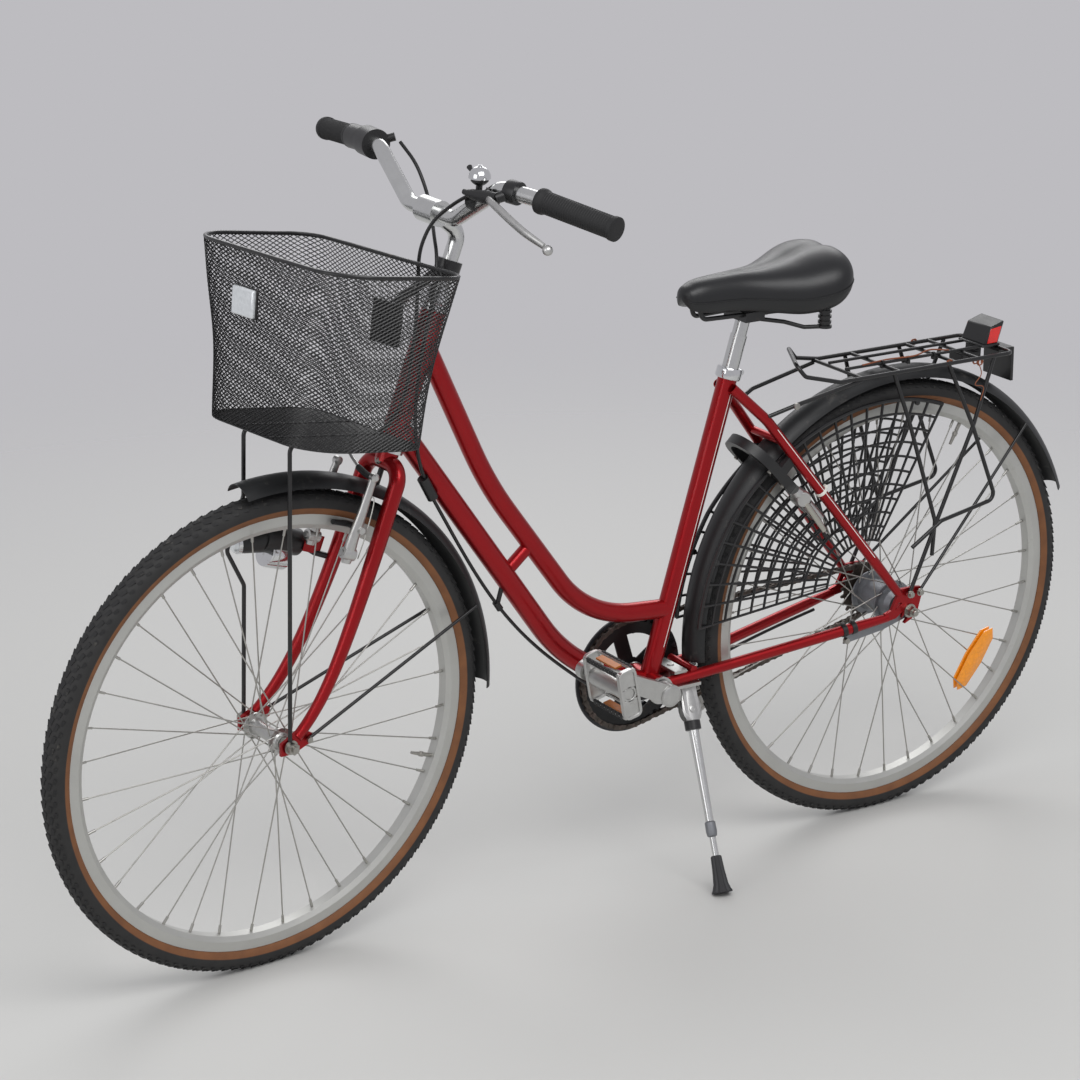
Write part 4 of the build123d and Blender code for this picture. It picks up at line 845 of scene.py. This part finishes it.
# spoke reflector: an amber lozenge on each side of the rear wheel's spokes
spot = polar(244, 215)
out_dir = unit(spot)
across = np.cross(out_dir, [0, 1, 0])
amber = Soup()
for y in (-3.6, 3.6):
    outline = [(-57, 0), (-44, -12), (0, -16), (44, -12), (57, 0), (44, 12), (0, 16), (-44, 12)]
    rings = []
    for off, shrink in ((-1.0, 0.94), (0, 1), (1.6, 1), (2.6, 0.9)):
        sign = 1 if y > 0 else -1
        rings.append([spot + out_dir * b * shrink + across * a * shrink
                      + vec(0, y + sign * off, 0) for a, b in outline])
    amber.rings(rings if y > 0 else rings[::-1])
amber.made("wheel_reflector_amber", "rear_wheel", AMBER, node="wheel_reflector", smooth=30)

# ---------------------------------------------------------------- pedals
PEDAL_TIP = 178
PEDAL_TILT = 78
CAGE_IN = 86
CAGE_HALF = 38
CAGE_HALF_T = 15
CAGE_CORNER = 9
CAGE_BAR = 4.2


def pedal(name, joint, side):
    """Cast cage on a barrel, with rubber treads and amber reflectors."""
    centre = upright(joint_pos(joint))
    centre[1] = 0
    ahead = polar(1, PEDAL_TILT)
    above = np.cross(ahead, [0, 1, 0])

    def at(a, y, h):
        return centre + ahead * a + above * h + vec(0, side * y, 0)

    def block(soup, a, half_a, h, half_h, y0, y1):
        corners = ((a - half_a, h - half_h), (a + half_a, h - half_h), (a + half_a, h + half_h),
                   (a - half_a, h + half_h))
        soup.rings([[at(p, y, q) for p, q in corners] for y in (y0, y1)])

    cage = Soup()
    barrel = [(7, 70), (9, 71), (9, 78), (13, 84), (15, 96), (13.5, 120), (12, 150), (13, 168),
              (8, 172)]
    cage.turned(at(0, 0, 0), (0, side, 0), barrel, 32)
    cage.turned(at(0, 0, 0), (0, side, 0), [(6.4, 56.5), (6.4, 70)], 20)

    def loop(y, thick):
        """A rounded square frame round the cage."""
        outer = []
        inner = []
        side_a = CAGE_HALF - CAGE_CORNER
        side_h = CAGE_HALF_T - CAGE_CORNER
        for ca, ch, start in ((side_a, side_h, 0), (-side_a, side_h, 90), (-side_a, -side_h, 180),
                              (side_a, -side_h, 270)):
            for t in np.radians(np.linspace(start, start + 90, 6)):
                for line, r in ((outer, CAGE_CORNER), (inner, CAGE_CORNER - CAGE_BAR)):
                    line.append((ca + r * math.cos(t), ch + r * math.sin(t)))
        edges = ((outer, y), (outer, y + thick), (inner, y + thick), (inner, y))
        cage.rings([[at(a, yy, h) for a, h in points] for points, yy in edges], closed=True)

    loop(CAGE_IN - 2, 6)
    loop(PEDAL_TIP - 10, 8)
    # end plates: a web on each side of a ring, whose hole the barrel's end fills
    for y in (CAGE_IN - 1, PEDAL_TIP - 7):
        for a in (-22.5, 22.5):
            block(cage, a, 13.5, 0, 11, y, y + 3)
        ring = np.radians(np.arange(0, 360, 15))
        cage.rings([[at(r * math.cos(t), yy, r * math.sin(t)) for t in ring]
                    for r, yy in ((12, y), (12, y + 3), (8.5, y + 3), (8.5, y))], closed=True)
    for a in (-34, 34):
        for h in (-12.5, 12.5):
            cage.tube([at(a, CAGE_IN, h), at(a, PEDAL_TIP - 4, h)], 2.6, 8)
    cage.made(name + "_cage", name, ALLOY, node=name, bevel=0.5)
    treads = Soup()
    for a in (-34, 34):
        for h in (-13.4, 13.4):
            for i in range(8):
                y = CAGE_IN + 9 + i * 9.3
                block(treads, a, 3.6, h, 2, y, y + 8)
    treads.made(name + "_treads", name, RUBBER, bevel=0.5)
    glow = Soup()
    for a in (-36.4, 36.4):
        block(glow, a, 1.6, 0, 6, 106, 154)
    glow.made(name + "_reflectors", name, AMBER_DULL, bevel=0.6)


pedal("left_pedal", "left_pedal_spin", 1)
pedal("right_pedal", "right_pedal_spin", -1)

BB_MID = BB * [1, 0, 1]
caps = Soup()
for side in (1, -1):
    caps.turned(BB_MID, (0, side, 0),
                [(15.5, 61), (15.5, 63.4), (13.5, 64.6), (12, 64.9), (0.5, 65.1)], 32)
caps.made("crank_dust_caps", "crank", ALLOY)

guard_ring = Soup()
guard_ring.turned(BB_MID, (0, -1, 0), [(93.3, 49.6), (93.3, 52.2), (92, 52.6), (71, 52.6),
                                      (70, 52.2), (70, 49.6)], 96, closed=True)
for i in range(5):
    spot = BB_MID + polar(66, 25 + 72 * i, -50)
    guard_ring.turned(spot, (0, -1, 0), [(5, 0), (5, 3.4), (3.4, 4), (3.4, 3), (0.5, 3)], 16)
guard_ring.made("chain_guard_ring", "crank", GUARD)

# ---------------------------------------------------------------- chain
CHAIN_PITCH = 12.7
RING_TEETH = 42
COG_TEETH = 20
RING_R = CHAIN_PITCH / 2 / math.sin(math.pi / RING_TEETH)
COG_R = CHAIN_PITCH / 2 / math.sin(math.pi / COG_TEETH)
CHAIN_Y = -45
span = np.linalg.norm(BB_MID)
heading = math.atan2(BB_MID[2], BB_MID[0])
spread = math.acos((COG_R - RING_R) / span)
path = []
for a in np.linspace(heading + spread, heading + 2 * math.pi - spread, 80):
    path.append((COG_R * math.cos(a), COG_R * math.sin(a)))
for a in np.linspace(heading - spread, heading + spread, 120):
    path.append((BB_MID[0] + RING_R * math.cos(a), BB_MID[2] + RING_R * math.sin(a)))
path.append(path[0])
path = np.array(path)
run = np.r_[0, np.cumsum(np.linalg.norm(np.diff(path, axis=0), axis=1))]
LINKS = 2 * round(run[-1] / CHAIN_PITCH / 2)
pins = [np.array([np.interp(run[-1] * i / LINKS, run, column) for column in path.T])
        for i in range(LINKS)]
chain = Soup()
for i in range(LINKS):
    a = pins[i]
    b = pins[(i + 1) % LINKS]
    t = unit(b - a)
    n = np.array([-t[1], t[0]])
    outline = []
    for end, base, start in ((b, 1, -90), (a, -1, 90)):
        for turn_by in np.radians(np.linspace(start, start + 180, 7)):
            outline.append(end + 4.1 * (t * math.cos(turn_by) + n * math.sin(turn_by)))
        outline.append((a + b) / 2 + n * 3.1 * base)
    ys = (2.6, 3.6) if i % 2 else (1.4, 2.4)
    for side in (1, -1):
        chain.prism([tuple(p) for p in outline], CHAIN_Y + side * ys[0], CHAIN_Y + side * ys[1])
    for r, half, sides in ((3.8, 1.3, 10), (1.8, 4.2, 8)):
        chain.turned((a[0], CHAIN_Y, a[1]), (0, 1, 0), [(r, -half), (r, half)], sides)
chain.made("chain_links", "frame", CHAIN, node="chain", smooth=30)

# ---------------------------------------------------------------- side stand dress
stand_mark = upright(joint_pos("side_stand_fold"))
hinge_axis = unit(np.linalg.inv(UPRIGHT[:3, :3]) @ joint_axis("side_stand_fold"))
low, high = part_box("stand_foot")
toe = upright(np.array([(low[0] + high[0]) / 2, (low[1] + high[1]) / 2, low[2]]))
leg_dir = unit(toe - stand_mark)
leg_dir = unit(leg_dir - hinge_axis * np.dot(leg_dir, hinge_axis))
LEG_END = np.dot(toe - stand_mark, leg_dir)


def on_leg(distance):
    return stand_mark + leg_dir * distance


leg = Soup()
leg.turned(stand_mark, hinge_axis, [(10.8, -5.4), (10.8, 5.4)], 24)
leg.box(on_leg(14), (28, 14, 10.8), x=leg_dir, z=hinge_axis)
leg.turned(on_leg(0), leg_dir, [(7.2, 18), (7.8, 30), (7.4, 60), (6.2, 150), (6, 180)], 24)
leg.turned(on_leg(0), leg_dir, [(4.8, 176), (4.8, LEG_END - 20)], 20)
leg.made("stand_leg_tube", "side_stand", BRIGHT, node="stand_leg")
# The cast head is two rounded cheeks either side of the leg's hub, no deeper than this, so that
# the crank arm passes it.
HEAD_HALF_T = 9.4
head_casting = Soup()
fore = np.cross(leg_dir, hinge_axis)
for sign in (1, -1):
    rings = []
    for along, r in ((-30, 9), (-24, 12.5), (-12, 15.5), (0, 16.5), (8, 15.5), (14, 12.5),
                     (17, 9.5)):
        ring = []
        for t in np.radians(np.linspace(-80, 80, 15)):
            depth = HEAD_HALF_T * max(0.65, math.cos(t) ** 0.6)
            ring.append(on_leg(along) + fore * r * math.sin(t) + hinge_axis * sign * depth)
        rings.append(ring if sign > 0 else ring[::-1])
    head_casting.rings(rings)
head_casting.turned(stand_mark, hinge_axis,
                    [(5.5, 8), (5.5, 10.4), (4.5, 11), (2.4, 11), (2.4, 10.2)], 20)
head_casting.made("stand_head_casting", "frame", ALLOY, smooth=50)
knuckle = Soup()
knuckle.turned(on_leg(0), leg_dir, [(9, 16), (12.2, 17), (12.2, 30), (9, 31)], 24)
knuckle.made("stand_leg_collar", "side_stand", PLASTIC)
sleeve = Soup()
sleeve.turned(on_leg(0), leg_dir, [(6, 168), (8, 170), (8.3, 184), (7.4, 190), (4.8, 192)],
              24)
sleeve.made("stand_leg_sleeve", "side_stand", GREY_CAST)


def above_floor(point):
    """The point itself, or the one up the leg from it that rests on the floor."""
    height = (UPRIGHT @ np.append(point, 1))[2]
    drop = (UPRIGHT[:3, :3] @ leg_dir)[2]
    return point - leg_dir * (min(0.0, height) / drop)


# The rubber boot flares from the rod to the floor, with ribs all round.
boot = Soup()
boot_across = unit(np.cross(leg_dir, (0, 1, 0)))
boot_side = np.cross(leg_dir, boot_across)
boot_rings = []
for back, half in ((56, 6.5), (54, 8), (34, 9), (14, 11), (6, 13.5), (2, 15.5), (0.5, 15)):
    ring = []
    for t in np.radians(np.arange(0, 360, 15)):
        rib = 1.0 if round(math.degrees(t) / 15) % 2 else 0.86
        out = boot_across * math.cos(t) * 1.05 + boot_side * math.sin(t)
        ring.append(above_floor(on_leg(LEG_END - back) + out * half * rib))
    boot_rings.append(ring)
boot.rings(boot_rings)
boot.made("stand_rubber_boot", "side_stand", FOOT, node="stand_foot", smooth=30)

# ---------------------------------------------------------------- brake
PAD_UP = 311
brake = Soup()
for side in (1, -1):
    brake.tube([head(262, 46, side * 43), head(275, 47, side * 43), head(300, 48, side * 44),
                head(335, 47, side * 45), head(365, 46, side * 44), head(386, 45, side * 43)],
               [7, 10, 8.5, 7.2, 6, 5.5], 14, flat=0.8)
    brake.turned(head(275, 38, side * 43), HEAD_AHEAD, [(9, 0), (9.5, 12), (8, 19), (5, 20)], 20)
    brake.hexagon(head(275, 57, side * 43), HEAD_AHEAD, 8, 3)
    brake.hexagon(head(PAD_UP, 45, side * 50), (0, side, 0), 9, 5)
    brake.turned(head(384, 45, side * 43), (0, side, 0), [(5, -4), (6.5, -3), (6.5, 4), (4, 6)],
                 16)
brake.tube(smooth_path([head(402, 46, -40), head(404, 46, -30), head(396, 46, -12),
                        head(388, 45, 6)], 6), 2.6, 10)
brake.made("front_brake_arms", "steering", ALLOY, node="front_brake")
pads = Soup()
for side in (1, -1):
    pads.tube([head(PAD_UP - 1.5, 20, side * 18.5), head(PAD_UP, 45, side * 18.5),
               head(PAD_UP - 1.5, 70, side * 18.5)], [3.6, 4.4, 3.6], 10, flat=1.2)
    pads.tube([head(PAD_UP, 45, side * 20), head(PAD_UP, 45, side * 40)], 3.6, 10)
pads.tube(smooth_path([head(388, 45, 4), head(386, 45, 14), head(384, 45, 24),
                       head(383, 45, 36)], 5), 4.6, 10)
pads.made("front_brake_pads", "steering", RUBBER)
spring = Soup()
for side in (1, -1):
    spring.tube(smooth_path([head(272, 34, side * 50), head(310, 36, side * 53),
                             head(352, 38, side * 51), head(360, 42, side * 46)], 6), 0.9, 6)
spring.made("front_brake_springs", "steering", WIRE)

# ---------------------------------------------------------------- lock, ties, key
LOCK_DIR = polar(1, 45.7)
LOCK_SIDE = np.array([-LOCK_DIR[2], 0, LOCK_DIR[0]])


def on_lock(radius, y):
    return LOCK_DIR * radius + vec(0, y, 0)


barrel_at = on_lock(292, 44)
lock = Soup()
lock.turned(barrel_at, (0.1, 1, -0.1), [(11.5, -10), (13, -8), (13, 9), (11, 12), (5, 12.4)], 28)
lock.tube([on_lock(312, 46), on_lock(304, 46)], [8, 10], 20, flat=1.2)
lock.tube([on_lock(276, 44), on_lock(238, 44)], [9.5, 8.5], 20)
lock.made("lock_key_barrel", "frame", ALLOY)
key = Soup()
key.tube([barrel_at + [-4, 10, -8], barrel_at + [-28, 12, -40], barrel_at + [-40, 12, -56]],
         [4.6, 5.2, 4.2], 12, flat=0.6)
key.made("lock_key", "frame", KEY_STEEL)
bolts = Soup()
for side in (1, -1):
    for r in (300, 330, 366):
        bolts.hexagon(LOCK_DIR * r + LOCK_SIDE * -8 + vec(0, side * 41, 0), -LOCK_SIDE,
                      6, 2.5)
bolts.made("lock_bolts", "frame", BOLT)


def tie(name, centre, axis, radius, mat, width):
    """A cable tie drawn round a tube, with its square head."""
    band = Soup()
    band.turned(centre, axis, [(radius, -width / 2), (radius + 1.2, -width / 2),
                               (radius + 1.2, width / 2), (radius, width / 2)], 24, closed=True)
    u, v = square_to(axis)
    band.box(np.asarray(centre) + u * (radius + 2), (5, 6, 5), x=u, z=axis)
    band.made(name, "frame", mat, bevel=0.3)


STAY_BEND = vec(268, 37, 336.0)
STAY_TIP = vec(21, 67.5, 30.0)
stay_dir = unit(STAY_TIP - STAY_BEND)
tie("lock_tie_white", STAY_BEND + (STAY_TIP - STAY_BEND) * 0.4, stay_dir, 8.2, WHITE, 5)
CHAIN_STAY_A = vec(315, 32.5, -40)
CHAIN_STAY_B = vec(42, 67.5, -5)
for i in range(2):
    tie("coaster_clip_%d" % i, CHAIN_STAY_A + (CHAIN_STAY_B - CHAIN_STAY_A) * (0.72 + i * 0.06),
        unit(CHAIN_STAY_B - CHAIN_STAY_A), 8.4, PLASTIC, 8)

# ---------------------------------------------------------------- bolts and small metal
small = Soup()
for side in (1, -1):
    for x, reach_out in ((5, 76.5), (-15, 75)):
        small.turned((x, side * reach_out, 29), (0, side, 0), [(6, -0.5), (6, 0.6)], 20)
        small.hexagon((x, side * (reach_out + 0.6), 29), (0, side, 0), 8, 4)
    small.turned((0, side * 70, 0), (0, side, 0), [(11, 0.1), (11, 1.8), (5.2, 1.9)], 28)
    small.turned((0, side * 81, 0), (0, side, 0), [(5, 0), (5, 4.6), (4, 5.6)], 20)
small.hexagon(vec(118, 62.5, -29), (0, 1, 0), 9, 6)
small.turned(vec(228, 57, 356), (0, 1, 0), [(5, -2), (5, 1), (3, 2)], 16)
small.made("rear_bolts", "frame", BOLT)
front_bolts = Soup()
for side in (1, -1):
    front_bolts.turned(FRONT + vec(0, side * 57.6, 0), (0, side, 0),
                       [(10.5, 0.1), (10.5, 1.6), (5.2, 1.7)], 28)
    front_bolts.hexagon(FRONT + vec(-28, side * 59.5, 6), (0, side, 0), 8, 4)
front_bolts.turned(head(403, 11.4, 0), HEAD_AHEAD, [(6, 0), (6, 2), (4, 4)], 16)
front_bolts.hexagon(head(752, 0, 0), HEAD_UP, 6, 3)
front_bolts.made("front_bolts", "steering", BOLT)
SEAT_TUBE_FOOT = vec(442, 0, -55)
SEAT_TUBE_LENGTH = 478
SEAT_ANGLE = math.radians(74.3)
seat_dir = vec(-math.cos(SEAT_ANGLE), 0, math.sin(SEAT_ANGLE))
collar_at = SEAT_TUBE_FOOT + SEAT_TUBE_LENGTH * seat_dir
clamp_bolt = Soup()
clamp_bolt.turned(collar_at + [-17, -9, 0], (0, 1, 0), [(4.2, 0), (4.2, 18)], 14)
clamp_bolt.turned(collar_at, seat_dir, [(18, -8.3), (19.2, -6), (19.2, 6), (18, 8.3)], 40)
clamp_bolt.made("seat_clamp_bolt", "frame", CHROME)

# wires twisted round the rack's tubes, a loose end, the lamp's wire, and its three ties
wires = Soup()
for x, y, z in ((-112, 60, 380), (-120, 61, 377), (-60, 60, 384), (-90, -60, 384)):
    wires.tube([vec(x + 4.6 * math.cos(t) + 0.25 * t, y, z + 4.6 * math.sin(t))
                for t in np.linspace(0, 16, 60)], 0.8, 6)
wires.tube(smooth_path([(-112, 64, 379), (-118, 66, 360), (-106, 67, 345), (-124, 66, 338),
                        (-119, 67, 318)], 8), 0.8, 6)
wires.tube(smooth_path([(-90, 20, 390), (-60, 10, 392), (-20, 22, 391), (30, 18, 391),
                        (80, 22, 390)], 8), 1.3, 6)
wires.made("rack_twisted_wires", "frame", COPPER)
for k, (x, y) in enumerate(((-60, 20), (-10, 20), (40, 20))):
    tie("rack_tie_%d" % k, vec(x, y, 387.6), (1, 0, 0), 3.0, PLASTIC, 3.6)

# ---------------------------------------------------------------- pinstripes
def stripe(name, points, out, half=0.6):
    """Thin strip laid along a line of points just off a tube's side."""
    soup = Soup()
    rings = []
    for i, p in enumerate(points):
        d = unit(points[min(i + 1, len(points) - 1)] - points[max(i - 1, 0)])
        o = unit(out - d * np.dot(out, d))
        w = np.cross(d, o)
        rings.append([p - w * half, p + w * half, p + w * half - o * 0.4, p - w * half - o * 0.4])
    soup.rings(rings)
    soup.made(name, "frame", STRIPE, smooth=0)


for side, word in ((1, "left"), (-1, "right")):
    out = unit(vec(-0.25, side, 0.1))
    a = STAY_BEND * [1, side, 1]
    b = STAY_TIP * [1, side, 1]
    line = [a + (b - a) * t + out * 8.15 for t in np.linspace(0.05, 0.78, 12)]
    stripe("seat_stay_stripe_" + word, line, out)
    out = unit(vec(-0.15, side, 0))
    line = [SEAT_TUBE_FOOT + seat_dir * s + out * 14.45 for s in np.linspace(60, 452, 8)]
    stripe("seat_tube_stripe_" + word, line, out)

# ---------------------------------------------------------------- stage, light and camera
# Floor: painted concrete, pale and plain.
bpy.ops.mesh.primitive_plane_add(size=40, location=(0, 0, 0))
floor = bpy.context.object
floor.name = "studio_floor"
floor_paint = bpy.data.materials.new("floor_painted_concrete")
floor_paint.use_nodes = True
paint = floor_paint.node_tree
coat = paint.nodes["Principled BSDF"]
coat.inputs["Base Color"].default_value = to_linear("#c3c2bf")
coat.inputs["Roughness"].default_value = 0.6
# The paint fades out a few metres away, where the backdrop's even grey takes over.
where = add(paint, "ShaderNodeNewGeometry")
away = add(paint, "ShaderNodeVectorMath", [(0, where.outputs["Position"])], operation="LENGTH")
fade = add(paint, "ShaderNodeMapRange", [("Value", away.outputs["Value"])],
           interpolation_type="SMOOTHSTEP")
fade.inputs["From Min"].default_value = 1.1
fade.inputs["From Max"].default_value = 4.2
clear = add(paint, "ShaderNodeBsdfTransparent")
faded = add(paint, "ShaderNodeMixShader", [("Fac", fade.outputs["Result"]),
                                           (1, coat.outputs["BSDF"]), (2, clear.outputs["BSDF"])])
paint.links.new(faded.outputs["Shader"], paint.nodes["Material Output"].inputs["Surface"])
floor.data.materials.append(floor_paint)

world = bpy.data.worlds.new("studio")
bpy.context.scene.world = world
world.use_nodes = True
sky = world.node_tree
sky.nodes.clear()
rays = add(sky, "ShaderNodeLightPath")
seen = add(sky, "ShaderNodeMath", [(0, rays.outputs["Is Camera Ray"]),
                                   (1, rays.outputs["Is Transmission Ray"])], operation="MAXIMUM")
shown = add(sky, "ShaderNodeMath", [(0, seen.outputs[0]), (1, rays.outputs["Is Glossy Ray"])],
            operation="MAXIMUM")
soft = add(sky, "ShaderNodeBackground", Strength=0.75)
soft.inputs["Color"].default_value = to_linear("#eef0f4")
pale = add(sky, "ShaderNodeBackground", Strength=1.0)
pale.inputs["Color"].default_value = to_linear("#bdbcc0")
mix = add(sky, "ShaderNodeMixShader", [("Fac", shown.outputs[0]), (1, soft.outputs[0]),
                                       (2, pale.outputs[0])])
add(sky, "ShaderNodeOutputWorld", [("Surface", mix.outputs[0])])


def area_light(name, place, target, size, watts):
    data = bpy.data.lights.new(name, "AREA")
    data.shape = "RECTANGLE"
    data.size, data.size_y = size
    data.energy = watts
    obj = bpy.data.objects.new(name, data)
    bpy.context.scene.collection.objects.link(obj)
    obj.location = place
    obj.rotation_euler = (Vector(target) - Vector(place)).to_track_quat("-Z", "Y").to_euler()


area_light("key_softbox", (0.6, 2.6, 3.6), (0, 0, 0.4), (3.2, 2.2), 80)
area_light("fill_softbox", (3.4, 0.6, 1.9), (0.2, 0, 0.5), (2.0, 2.0), 22)
area_light("back_softbox", (-1.8, -2.8, 2.8), (0, 0, 0.5), (3.0, 1.6), 40)

camera = bpy.data.objects.new("photo_camera", bpy.data.cameras.new("photo_camera"))
bpy.context.scene.collection.objects.link(camera)
camera.location = (2.4393, 3.5552, 1.8015)
camera.rotation_euler = [math.radians(a) for a in (73.725, 0.553, 146.697)]
camera.data.sensor_width = 36
camera.data.lens = 104.29
bpy.context.scene.camera = camera
bpy.context.scene.render.resolution_x = 1080
bpy.context.scene.render.resolution_y = 1080
bpy.context.scene.view_settings.view_transform = "Standard"
